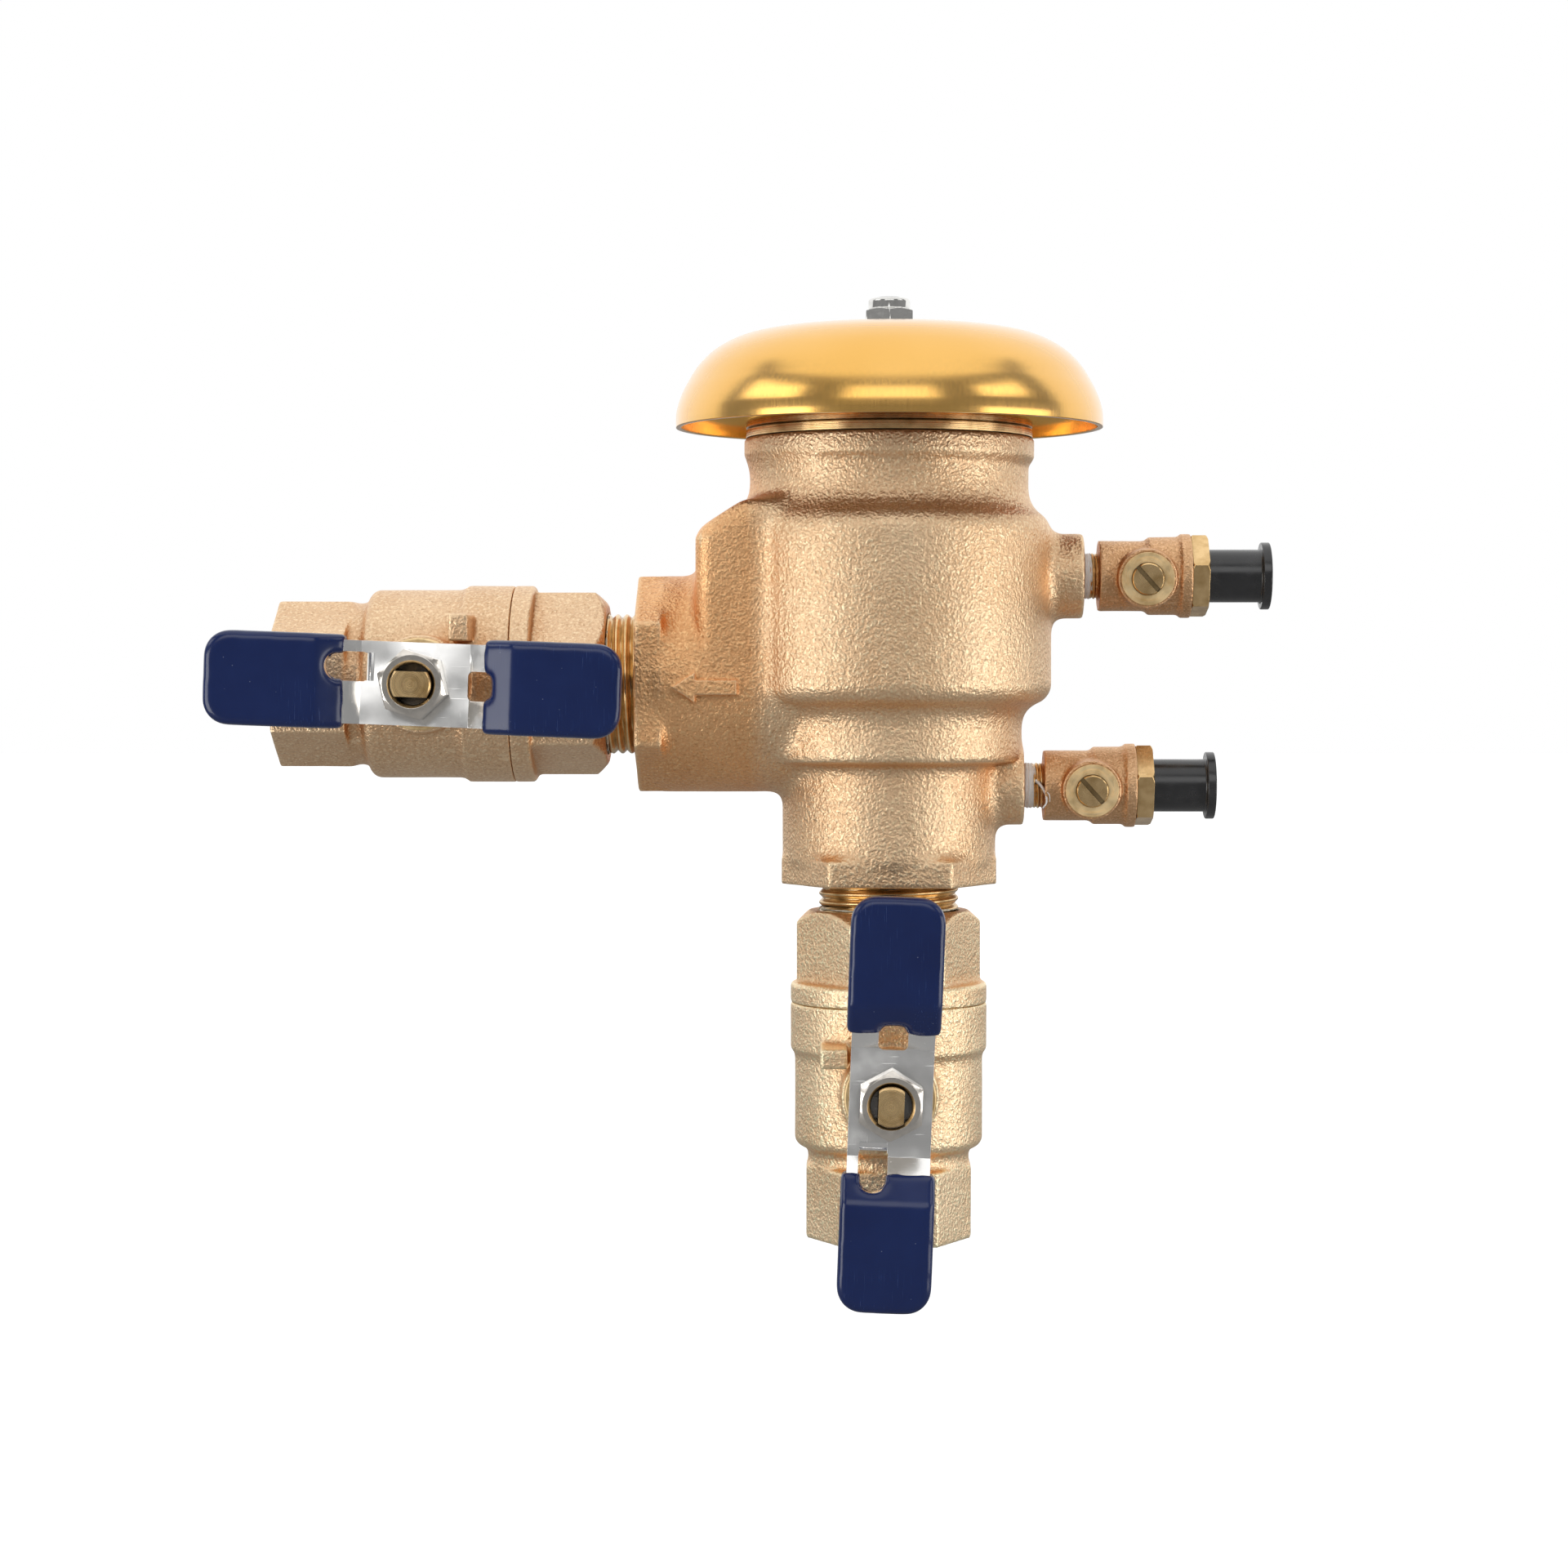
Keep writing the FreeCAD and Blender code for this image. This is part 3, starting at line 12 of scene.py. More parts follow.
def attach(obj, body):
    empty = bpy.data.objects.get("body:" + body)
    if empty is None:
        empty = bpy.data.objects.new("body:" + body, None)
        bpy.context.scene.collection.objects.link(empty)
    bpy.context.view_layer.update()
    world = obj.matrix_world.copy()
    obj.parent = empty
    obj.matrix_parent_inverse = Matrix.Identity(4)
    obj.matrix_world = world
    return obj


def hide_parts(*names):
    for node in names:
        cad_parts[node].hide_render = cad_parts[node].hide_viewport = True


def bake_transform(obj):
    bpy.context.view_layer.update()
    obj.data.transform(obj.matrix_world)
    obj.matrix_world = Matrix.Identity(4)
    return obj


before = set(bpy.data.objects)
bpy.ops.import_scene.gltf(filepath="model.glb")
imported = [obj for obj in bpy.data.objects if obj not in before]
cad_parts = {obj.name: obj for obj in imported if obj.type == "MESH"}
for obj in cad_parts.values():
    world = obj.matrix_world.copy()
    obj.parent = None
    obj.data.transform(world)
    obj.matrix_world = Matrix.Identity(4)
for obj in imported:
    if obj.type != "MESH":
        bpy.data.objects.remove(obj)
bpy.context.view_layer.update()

MM = 0.001

# heights in millimetres above the lower end face, and the arrow's middle
OUTLET_HEIGHT = 132.6
UPPER_COCK_HEIGHT = 158.4
LOWER_COCK_HEIGHT = 108.3
ARROW_HEIGHT = 131.8
ARROW_ALONG = -43.2

# points on the axes of the turned parts, in metres
INLET_STEM = Vector((0, 0, 36.3)) * MM
OUTLET_STEM = Vector((-109.4, 0, OUTLET_HEIGHT)) * MM
UPPER_COCK = Vector((61.0, 0, UPPER_COCK_HEIGHT)) * MM
LOWER_COCK = Vector((48.0, 0, LOWER_COCK_HEIGHT)) * MM

AXES = {"X": Vector((1, 0, 0)), "Y": Vector((0, 1, 0)), "Z": Vector((0, 0, 1))}
UPRIGHT_TO = {"Z": Matrix.Identity(3), "X": Matrix.Rotation(math.radians(90), 3, "Y")}
PIPE_PITCH = 2.2


# ---------------------------------------------------------------- materials


class Finish:
    """A procedural material, built on the piece's own coordinates in metres."""

    def __init__(self, name, metallic=0.0, roughness=0.5, specular=0.5):
        self.material = bpy.data.materials.new(name)
        self.material.use_nodes = True
        self.tree = self.material.node_tree
        self.shader = self.tree.nodes["Principled BSDF"]
        self.shader.inputs["Metallic"].default_value = metallic
        self.shader.inputs["Roughness"].default_value = roughness
        self.shader.inputs["Specular IOR Level"].default_value = specular
        self.point = self.add("ShaderNodeTexCoord").outputs["Object"]
        self.normal = None

    def add(self, kind, **settings):
        """A node with some of its settings."""
        node = self.tree.nodes.new(kind)
        for key, value in settings.items():
            setattr(node, key, value)
        return node

    def feed(self, socket, value):
        """Link an output to a socket, or set the socket to a plain value."""
        if isinstance(value, bpy.types.NodeSocket):
            self.tree.links.new(value, socket)
        else:
            socket.default_value = value

    def noise(self, size, detail=2.0, stretch=(1, 1, 1), turn=(0, 0, 0), seed=0.0, point=None):
        """Noise with features of about a size in metres, stretched along the three axes."""
        mapping = self.add("ShaderNodeMapping")
        self.feed(mapping.inputs["Vector"], point or self.point)
        mapping.inputs["Location"].default_value = (seed, seed * 0.7, seed * 1.3)
        mapping.inputs["Rotation"].default_value = turn
        mapping.inputs["Scale"].default_value = [1 / (size * part) for part in stretch]
        texture = self.add("ShaderNodeTexNoise")
        self.feed(texture.inputs["Vector"], mapping.outputs["Vector"])
        texture.inputs["Scale"].default_value = 1.0
        texture.inputs["Detail"].default_value = detail
        return texture.outputs["Fac"]

    def cells(self, size, seed=0.0):
        """Distance to the nearest of many scattered points, from 0 to about 1."""
        mapping = self.add("ShaderNodeMapping")
        self.feed(mapping.inputs["Vector"], self.point)
        mapping.inputs["Location"].default_value = (seed, seed, seed)
        texture = self.add("ShaderNodeTexVoronoi")
        self.feed(texture.inputs["Vector"], mapping.outputs["Vector"])
        texture.inputs["Scale"].default_value = 1 / size
        return texture.outputs["Distance"]

    def lathe(self, centre, axis):
        """Distance from an axis and distance along it, as a point for turned marks."""
        direction = AXES[axis]
        offset = self.add("ShaderNodeVectorMath", operation="SUBTRACT")
        self.feed(offset.inputs[0], self.point)
        offset.inputs[1].default_value = centre
        along = self.add("ShaderNodeVectorMath", operation="DOT_PRODUCT")
        self.feed(along.inputs[0], offset.outputs["Vector"])
        along.inputs[1].default_value = direction
        across = self.add("ShaderNodeVectorMath", operation="MULTIPLY")
        self.feed(across.inputs[0], offset.outputs["Vector"])
        across.inputs[1].default_value = Vector((1, 1, 1)) - direction
        radius = self.add("ShaderNodeVectorMath", operation="LENGTH")
        self.feed(radius.inputs[0], across.outputs["Vector"])
        point = self.add("ShaderNodeCombineXYZ")
        self.feed(point.inputs["X"], radius.outputs["Value"])
        self.feed(point.inputs["Y"], along.outputs["Value"])
        return point.outputs["Vector"]

    def spread(self, value, low, high, to_low=0.0, to_high=1.0):
        """Map a range of values to another, clamped."""
        node = self.add("ShaderNodeMapRange")
        for key, item in (("Value", value), ("From Min", low), ("From Max", high),
                          ("To Min", to_low), ("To Max", to_high)):
            self.feed(node.inputs[key], item)
        return node.outputs["Result"]

    def maths(self, operation, first, second):
        """One operation on two values."""
        node = self.add("ShaderNodeMath", operation=operation)
        self.feed(node.inputs[0], first)
        self.feed(node.inputs[1], second)
        return node.outputs["Value"]

    def mix(self, factor, first, second, blend="MIX"):
        """A mix of two colours."""
        node = self.add("ShaderNodeMix", data_type="RGBA", blend_type=blend)
        self.feed(node.inputs["Factor"], factor)
        for socket, colour in ((node.inputs[6], first), (node.inputs[7], second)):
            self.feed(socket, colour if isinstance(colour, bpy.types.NodeSocket) else (*colour, 1))
        return node.outputs[2]

    def pointiness(self):
        """How far a place sticks out or is sunk, about 0.5 where it is flat."""
        return self.add("ShaderNodeNewGeometry").outputs["Pointiness"]

    def recess(self, distance, low, high):
        """How far a place is shut in by what is round it, from 0 in the open to 1; the materials paint shade
        into their colour by it.
        """
        node = self.add("ShaderNodeAmbientOcclusion", samples=6)
        node.inputs["Distance"].default_value = distance
        return self.spread(node.outputs["AO"], low, high, 1.0, 0.0)

    def colour(self, value):
        """The base colour."""
        self.feed(self.shader.inputs["Base Color"], value)

    def roughness(self, value):
        """The roughness, where it varies."""
        self.feed(self.shader.inputs["Roughness"], value)

    def bump(self, height, distance, strength=1.0):
        """Relief of a depth in metres, on top of any relief before it."""
        node = self.add("ShaderNodeBump")
        node.inputs["Strength"].default_value = strength
        node.inputs["Distance"].default_value = distance
        self.feed(node.inputs["Height"], height)
        if self.normal is not None:
            self.feed(node.inputs["Normal"], self.normal)
        self.normal = node.outputs["Normal"]
        self.feed(self.shader.inputs["Normal"], self.normal)


def cast_bronze(name, seed, tint, grain=1.0, shaded_beyond=-1.0):
    """Sand-cast bronze: tan, with sparkling sand grain, darker pits, painted shade in its recesses and sunken
    places, and brighter edges, partly worn and partly a painted highlight.

    It is darker and browner to the left of shaded_beyond, a distance along X in metres:
    painted shade on the outlet side, which the light reaches less.
    """
    finish = Finish(name, metallic=1.0)
    broad = finish.noise(0.026, 2, seed=seed)
    fine = finish.noise(0.0011 * grain, 1, seed=seed + 3)
    sand = finish.noise(0.00062 * grain, 2, seed=seed + 7)
    dark = [tint[0] * 0.90, tint[1] * 0.84, tint[2] * 0.78]
    light = [min(part * 1.18 + 0.03, 1) for part in tint]
    shadow = (tint[0] * 0.50, tint[1] * 0.36, tint[2] * 0.24)
    colour = finish.mix(finish.spread(broad, 0.35, 0.68), dark, tint)
    colour = finish.mix(finish.spread(sand, 0.50, 0.68), colour, light)
    pits = finish.spread(finish.noise(0.0007 * grain, 1, seed=seed + 11), 0.28, 0.43, 0.4, 0.0)
    colour = finish.mix(pits, colour, shadow)
    # Painted shade: darker and browner to the left of shaded_beyond, where the outlet side gets less light.
    parts = finish.add("ShaderNodeSeparateXYZ")
    finish.feed(parts.inputs[0], finish.point)
    ragged = finish.maths("ADD", parts.outputs["X"], finish.maths("MULTIPLY", broad, 0.006))
    dull = finish.spread(ragged, shaded_beyond + 0.004, shaded_beyond - 0.001)
    colour = finish.mix(dull, colour, (1.0, 0.80, 0.62), "MULTIPLY")
    # Painted shade: darker where the surface is shut in by what stands round it.
    recess_shade = finish.recess(0.014, 0.35, 0.95)
    colour = finish.mix(recess_shade, colour, (0.82, 0.60, 0.42), "MULTIPLY")
    # Lighter on edges that stick out: partly worn metal, partly a painted highlight.
    edges = finish.spread(finish.pointiness(), 0.505, 0.55, 0.0, 0.6)
    colour = finish.mix(edges, colour, light)
    # Painted shade: sunken places go dark.
    hollow_shade = finish.spread(finish.pointiness(), 0.45, 0.497, 0.85, 0.0)
    finish.colour(finish.mix(hollow_shade, colour, shadow))
    finish.roughness(finish.spread(sand, 0.3, 0.7, 0.48, 0.34))
    finish.bump(broad, 0.0012, 0.3)
    finish.bump(fine, 0.00042 * grain, 0.55)
    finish.bump(sand, 0.00034 * grain, 0.8)
    return finish.material


def turned_metal(name, colour, centre, axis, roughness=0.22, depth=0.00002):
    """Metal from a lathe: rings round its axis, with faint stains, and painted shade in its recesses."""
    finish = Finish(name, metallic=1.0)
    rings = finish.noise(0.00022, 1, point=finish.lathe(centre, axis))
    stains = finish.noise(0.0035, 3, seed=2)
    dull = [colour[0] * 0.66, colour[1] * 0.60, colour[2] * 0.50]
    shade = finish.mix(finish.spread(stains, 0.42, 0.72), colour, dull)
    # Painted shade: the colour goes nearly black where the surface is shut in.
    finish.colour(finish.mix(finish.recess(0.0022, 0.1, 0.8), shade, [part * 0.10 for part in colour]))
    finish.roughness(finish.spread(rings, 0.25, 0.75, roughness * 0.75, roughness * 1.6))
    finish.bump(rings, depth, 0.8)
    finish.bump(stains, 0.00004, 0.35)
    return finish.material


def gold_canopy():
    """Gold anodised spun sheet: satin, with faint upright brushing."""
    finish = Finish("gold_canopy", metallic=1.0)
    finish.shader.inputs["Coat Weight"].default_value = 1.0
    finish.shader.inputs["Coat Roughness"].default_value = 0.30
    brushed = finish.noise(0.0004, 3, stretch=(1, 1, 14))
    spun = finish.noise(0.0008, 1, point=finish.lathe(Vector(), "Z"))
    cloud = finish.noise(0.03, 2)
    finish.colour(finish.mix(finish.spread(cloud, 0.3, 0.7), (0.88, 0.48, 0.090), (0.92, 0.52, 0.120)))
    finish.roughness(finish.spread(brushed, 0.3, 0.7, 0.16, 0.25))
    finish.bump(brushed, 0.000006, 0.5)
    finish.bump(spun, 0.000005, 0.4)
    return finish.material


def zinc_steel():
    """Bright zinc plate that leans and waves a little, with smudges, hair scratches and painted shade in its
    recesses.
    """
    finish = Finish("zinc_plate", metallic=1.0)
    smudge = finish.noise(0.005, 3)
    scratch = finish.noise(0.00025, 1, stretch=(1, 1, 40), turn=(0, 0.6, 0))
    other = finish.noise(0.0003, 1, stretch=(30, 1, 1), turn=(0, 0.25, 0))
    marks = finish.maths("MAXIMUM", finish.spread(scratch, 0.73, 0.79), finish.spread(other, 0.74, 0.80))
    shade = finish.mix(finish.spread(smudge, 0.35, 0.7), (0.99, 0.98, 0.96), (0.92, 0.91, 0.89))
    # Painted shade: nearly black where the plate is shut in, as in the gap round the stem.
    finish.colour(finish.mix(finish.recess(0.005, 0.1, 0.6), shade, (0.06, 0.05, 0.04)))
    finish.roughness(finish.maths("MAXIMUM", finish.spread(smudge, 0.35, 0.7, 0.13, 0.24),
                                  finish.maths("MULTIPLY", marks, 0.34)))
    parts = finish.add("ShaderNodeSeparateXYZ")
    finish.feed(parts.inputs[0], finish.point)
    lean = 0.13
    finish.bump(finish.maths("MULTIPLY", parts.outputs["Z"], -1), lean)
    finish.bump(finish.noise(0.018, 1, seed=4), 0.0018, 0.6)
    finish.bump(marks, 0.00001, 0.5)
    return finish.material


def navy_vinyl():
    """Dipped vinyl: deep navy and glossy, with fine scuffs and dust."""
    finish = Finish("navy_vinyl", specular=0.55)
    soft = finish.noise(0.012, 2)
    scuff = finish.noise(0.0003, 2, stretch=(1, 1, 26), turn=(0, 0.7, 0))
    where = finish.spread(finish.noise(0.02, 1, seed=9), 0.5, 0.62)
    marks = finish.maths("MULTIPLY", finish.spread(scuff, 0.60, 0.72), where)
    dust = finish.spread(finish.cells(0.0032, seed=5), 0.055, 0.02)
    colour = finish.mix(finish.spread(soft, 0.3, 0.7), (0.0005, 0.0105, 0.078), (0.0010, 0.0140, 0.094))
    colour = finish.mix(finish.maths("MULTIPLY", marks, 0.35), colour, (0.02, 0.06, 0.22))
    finish.colour(finish.mix(finish.maths("MULTIPLY", dust, 0.5), colour, (0.22, 0.26, 0.38)))
    finish.roughness(finish.maths("MAXIMUM", finish.spread(soft, 0.3, 0.7, 0.16, 0.23),
                                  finish.maths("MULTIPLY", marks, 0.45)))
    finish.bump(soft, 0.0006, 0.25)
    finish.bump(finish.noise(0.0016, 2, seed=6), 0.00002, 0.4)
    return finish.material


def plastic(name, colour, roughness, grain=0.0004, depth=0.00002, specular=0.5):
    """Moulded plastic or rubber with fine grain and faint marks."""
    finish = Finish(name, specular=specular)
    fine = finish.noise(grain, 2)
    cloud = finish.noise(0.004, 3, seed=3)
    worn = [min(part * 1.5 + 0.01, 1) for part in colour]
    finish.colour(finish.mix(finish.spread(cloud, 0.45, 0.8), colour, worn))
    finish.roughness(finish.spread(cloud, 0.3, 0.7, roughness * 0.85, roughness * 1.25))
    finish.bump(fine, depth, 0.6)
    return finish.material


def plated(name, colour, roughness):
    """Bright plating or stainless steel with small smears and dents, and painted shade in its recesses."""
    finish = Finish(name, metallic=1.0)
    smear = finish.noise(0.0022, 3)
    shade = finish.mix(finish.spread(smear, 0.4, 0.75), colour, [part * 0.8 for part in colour])
    # Painted shade: nearly black where the surface is shut in.
    finish.colour(finish.mix(finish.recess(0.004, 0.1, 0.7), shade, [part * 0.12 for part in colour]))
    finish.roughness(finish.spread(smear, 0.3, 0.75, roughness * 0.7, roughness * 1.8))
    finish.bump(finish.noise(0.0012, 2, seed=8), 0.00005, 0.45)
    return finish.material


def sealant_paste():
    """Dried pale thread sealant."""
    finish = Finish("sealant_paste", roughness=0.7)
    lumps = finish.noise(0.0012, 3)
    finish.colour(finish.mix(finish.spread(lumps, 0.35, 0.7), (0.52, 0.50, 0.36), (0.78, 0.77, 0.68)))
    finish.bump(lumps, 0.0003, 0.7)
    return finish.material


def white_tape():
    """PTFE tape: white, slightly translucent to the eye, with fine drawn lines."""
    finish = Finish("white_tape", roughness=0.55)
    lines = finish.noise(0.00022, 2, stretch=(1, 6, 6))
    finish.colour(finish.mix(finish.spread(lines, 0.35, 0.7), (0.86, 0.86, 0.83), (0.96, 0.96, 0.95)))
    finish.bump(lines, 0.00008, 0.6)
    return finish.material


# ---------------------------------------------------------------- pieces


def alter(piece, kind, **settings):
    """Add one modifier."""
    modifier = piece.modifiers.new(kind.lower(), kind)
    for key, value in settings.items():
        setattr(modifier, key, value)
    return modifier


def settle(piece):
    """Apply a piece's modifiers."""
    graph = bpy.context.evaluated_depsgraph_get()
    mesh = bpy.data.meshes.new_from_object(piece.evaluated_get(graph), depsgraph=graph)
    old = piece.data
    piece.modifiers.clear()
    piece.data = mesh
    bpy.data.meshes.remove(old)
    mesh.shade_smooth()


def place(piece, body, material, slot_name, *nodes):
    """Give a new piece its body and material, and hide the CAD nodes it stands for."""
    piece.data.materials.clear()
    piece.data.materials.append(material)
    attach(piece, body)
    if nodes:
        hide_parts(*nodes)
    return piece


def mesh_piece(name, points, faces):
    """A new smooth mesh object from points in metres."""
    mesh = bpy.data.meshes.new(name)
    mesh.from_pydata([tuple(point) for point in points], [], faces)
    mesh.validate()
    mesh.shade_smooth()
    piece = bpy.data.objects.new(name, mesh)
    bpy.context.scene.collection.objects.link(piece)
    return piece


def node_copy(node, ending):
    """A new object with a copy of a CAD node's mesh."""
    piece = bpy.data.objects.new(f"{node}_{ending}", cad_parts[node].data.copy())
    bpy.context.scene.collection.objects.link(piece)
    return piece


def tube_faces(rings, around, flipped=False):
    """Quads that join rings of points into a closed tube, each ring to the next and the last to the first."""
    faces = []
    for ring in range(rings):
        following = (ring + 1) % rings
        for spot in range(around):
            after = (spot + 1) % around
            here, ahead = ring * around, following * around
            if flipped:
                faces.append((here + spot, here + after, ahead + after, ahead + spot))
            else:
                faces.append((here + spot, ahead + spot, ahead + after, here + after))
    return faces


def circle(radius, height, around):
    """Points on a circle about Z."""
    angles = [2 * math.pi * spot / around for spot in range(around)]
    return [(radius * math.cos(angle), radius * math.sin(angle), height) for angle in angles]


def set_along(points, axis, origin):
    """Points built about Z in millimetres, turned to an axis and moved to an origin, in metres."""
    return [UPRIGHT_TO[axis] @ (Vector(point) * MM) + Vector(origin) * MM for point in points]


def fill_corners(piece, rounds, top):
    """Let the sunken corners fill up, as in a casting, except above a height and at the arrow.

    The ledge where the side box meets the neck is softened all round.
    """
    mesh = piece.data
    count = len(mesh.vertices)
    points = np.empty(count * 3, np.float32)
    mesh.vertices.foreach_get("co", points)
    points = points.reshape(-1, 3).astype(np.float64)
    edges = np.empty(len(mesh.edges) * 2, np.int32)
    mesh.edges.foreach_get("vertices", edges)
    first, second = edges.reshape(-1, 2).T
    degree = np.bincount(edges, minlength=count)
    across, depth, height = points.T.copy()
    beside_arrow = (abs(across - ARROW_ALONG * MM) < 0.0092) & (abs(height - ARROW_HEIGHT * MM) < 0.0048)
    free = (height < top) & ~(beside_arrow & (depth < -0.024))
    ledge = (across < -0.016) & (height > 0.167) & (height < 0.187)
    sunken = 4e-6
    for step in range(rounds):
        if step % 10 == 0:
            mesh.vertices.foreach_set("co", points.astype(np.float32).ravel())
            mesh.update()
            normals = np.array([normal.vector for normal in mesh.vertex_normals])
        total = np.stack([
            np.bincount(first, points[second, axis], count) + np.bincount(second, points[first, axis], count)
            for axis in range(3)
        ], axis=1)
        pull = total / degree[:, None] - points
        rise = (pull * normals).sum(axis=1)
        points += np.where((rise > sunken) & free | ledge, 0.8, 0.0)[:, None] * pull
    mesh.vertices.foreach_set("co", points.astype(np.float32).ravel())
    mesh.update()


def recast(node, body, material, slot_name, voxel, rounding, faces,
           waviness=0.0, filling=0, fill_below=1000.0, swelling=0.0):
    """A softened copy of a CAD part: corners filled, edges rounded, surface a little uneven.

    Lengths are in millimetres. rounding and filling are rounds of smoothing, and faces is the most
    triangles the copy may have.
    """
    piece = node_copy(node, "soft")
    alter(piece, "WELD", merge_threshold=1e-6)
    alter(piece, "REMESH", mode="VOXEL", voxel_size=voxel * MM)
    if filling:
        alter(piece, "SMOOTH", factor=0.5, iterations=2)
        settle(piece)
        fill_corners(piece, filling, fill_below * MM)
    alter(piece, "SMOOTH", factor=0.5, iterations=rounding)
    if swelling:
        alter(piece, "DISPLACE", strength=swelling * MM, mid_level=0.0)
    if waviness:
        texture = bpy.data.textures.new(f"{node}_waves", "CLOUDS")
        texture.noise_scale = 0.012
        alter(piece, "DISPLACE", strength=waviness * MM, mid_level=0.5,
              texture=texture, texture_coords="LOCAL")
    settle(piece)
    count = sum(len(face.vertices) - 2 for face in piece.data.polygons)
    if count > faces:
        alter(piece, "DECIMATE", ratio=faces / count)
        settle(piece)
    return place(piece, body, material, slot_name, node)


def machined(node, material, width, segments=2):
    """Keep a CAD node, with its material, and break its sharp edges."""
    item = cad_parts[node]
    item.data.materials.clear()
    item.data.materials.append(material)
    item.data.shade_smooth()
    alter(item, "WELD", merge_threshold=1e-6)
    alter(item, "BEVEL", width=width, segments=segments, limit_method="ANGLE",
          angle_limit=math.radians(28), harden_normals=False, miter_outer="MITER_ARC")
    alter(item, "WEIGHTED_NORMAL", keep_sharp=True)


def springy(node, material):
    """A copy of a CAD spring with its material, put in place of the CAD node."""
    piece = node_copy(node, "coils")
    piece.data.materials.clear()
    piece.data.materials.append(material)
    piece.data.shade_smooth()
    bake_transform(piece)
    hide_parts(node)


def smooth_path(points, steps):
    """Points along one smooth curve through the given ones."""
    points = [Vector(point) for point in points]
    path = []
    for index in range(len(points) - 1):
        start, end = points[index], points[index + 1]
        before = points[index - 1] if index else start - (end - start)
        after = points[index + 2] if index + 2 < len(points) else end + (end - start)
        size = (end - start).length
        lead = (end - before).normalized() * size / 3
        trail = (after - start).normalized() * size / 3
        path += interpolate_bezier(start, start + lead, end - trail, end, steps)[:-1]
    return path + [points[-1]]


def turned_piece(name, profile, count=192):
    """A closed outline of (radius, height) turned about Z."""
    points = []
    for turn in range(count):
        angle = 2 * math.pi * turn / count
        for radius, height in profile:
            points.append((radius * math.cos(angle), radius * math.sin(angle), height))
    return mesh_piece(name, points, tube_faces(count, len(profile)))


def canopy(material):
    """The canopy as one smooth spun shell, from its rim up to the hole for its stud."""
    sheet = 1.2
    rim_radius, rim_height = 51.0, 193.7
    hole_radius, top = 3.3, 217.6
    outer = smooth_path([
        (50.95, rim_height, 0), (51.0, 195.6, 0), (50.8, 197.7, 0), (50.0, 200.5, 0),
        (48.6, 203.6, 0), (45.6, 208.4, 0), (41.6, 212.2, 0), (36.0, 215.1, 0),
        (29.0, 216.7, 0), (21.0, 217.4, 0), (13.0, top, 0), (hole_radius, top, 0),
    ], 10)
    inner = []
    for index, point in enumerate(outer):
        before = outer[max(index - 1, 0)]
        after = outer[min(index + 1, len(outer) - 1)]
        along = (after - before).normalized()
        inner.append(point + Vector((-along.y, along.x, 0)) * sheet)
    inner[0] = Vector((rim_radius - sheet, rim_height, 0))
    inner[-1] = Vector((hole_radius, top - sheet, 0))
    shares = [0.5 - 0.5 * math.cos(angle) for angle in (0.9, 1.57, 2.2)]
    lip = [Vector((rim_radius - sheet * share, rim_height, 0)) for share in shares]
    profile = [(point.x * MM, point.y * MM) for point in outer[::-1] + lip + inner]
    piece = turned_piece("canopy_shell", profile)
    return place(piece, "housing", material, "gold_canopy", "canopy")


def threaded_sleeve(length, crest, depth, pitch, bore, plain=(1, 1)):
    """Points and faces of a sleeve along Z with a helical thread, plain between two shares of its length."""
    around = 72
    rows = int(length / pitch * 10)
    points = []
    for row in range(rows + 1):
        along = length * row / rows
        into_plain = (along - length * plain[0]) / 1.6
        out_of_plain = (along - length * plain[1]) / 1.6
        fade = min(max(into_plain, 0), 1) * (1 - min(max(out_of_plain, 0), 1))
        from_end = min(along, length - along)
        for spot in range(around):
            angle = 2 * math.pi * spot / around
            phase = (along / pitch - spot / around) % 1.0
            tooth = 1 - abs(2 * phase - 1)
            top = crest - min(0.5, max(0, 0.5 - from_end * 0.5)) * pitch / PIPE_PITCH
            radius = top - depth * (1 - min(1, tooth * 1.25)) * (1 - fade)
            points.append((radius * math.cos(angle), radius * math.sin(angle), along))
    points += circle(bore, length, around) + circle(bore, 0, around)
    return points, tube_faces(rows + 3, around, flipped=True)


def threaded(name, origin, axis, sleeve, material, *nodes):
    """A threaded sleeve put in its place."""
    points, faces = sleeve
    piece = mesh_piece(name, set_along(points, axis, origin), faces)
    piece.data.set_sharp_from_angle(angle=math.radians(50))
    return place(piece, "housing", material, "machined_brass", *nodes)


def tapped_thread(name, origin, axis, length, material):
    """The female pipe thread in an open end: a helix on the wall of the bore, from the face inwards."""
    around = 96
    wall = 16.85
    rows = int(length / PIPE_PITCH * 10)
    points = []
    for row in range(rows + 1):
        along = length * row / rows
        fade = min(along / 2.0, (length - along) / 3.0, 1)
        for spot in range(around):
            phase = (along / PIPE_PITCH - spot / around) % 1.0
            tooth = min(1, (1 - abs(2 * phase - 1)) * 1.25)
            angle = 2 * math.pi * spot / around
            radius = wall - 0.15 - 0.75 * tooth * fade
            points.append((radius * math.cos(angle), radius * math.sin(angle), along))
    points += circle(wall, length, around) + circle(wall, 0, around)
    piece = mesh_piece(name, set_along(points, axis, origin), tube_faces(rows + 3, around))
    piece.data.set_sharp_from_angle(angle=math.radians(50))
    return place(piece, "housing", material, "cast_bronze")


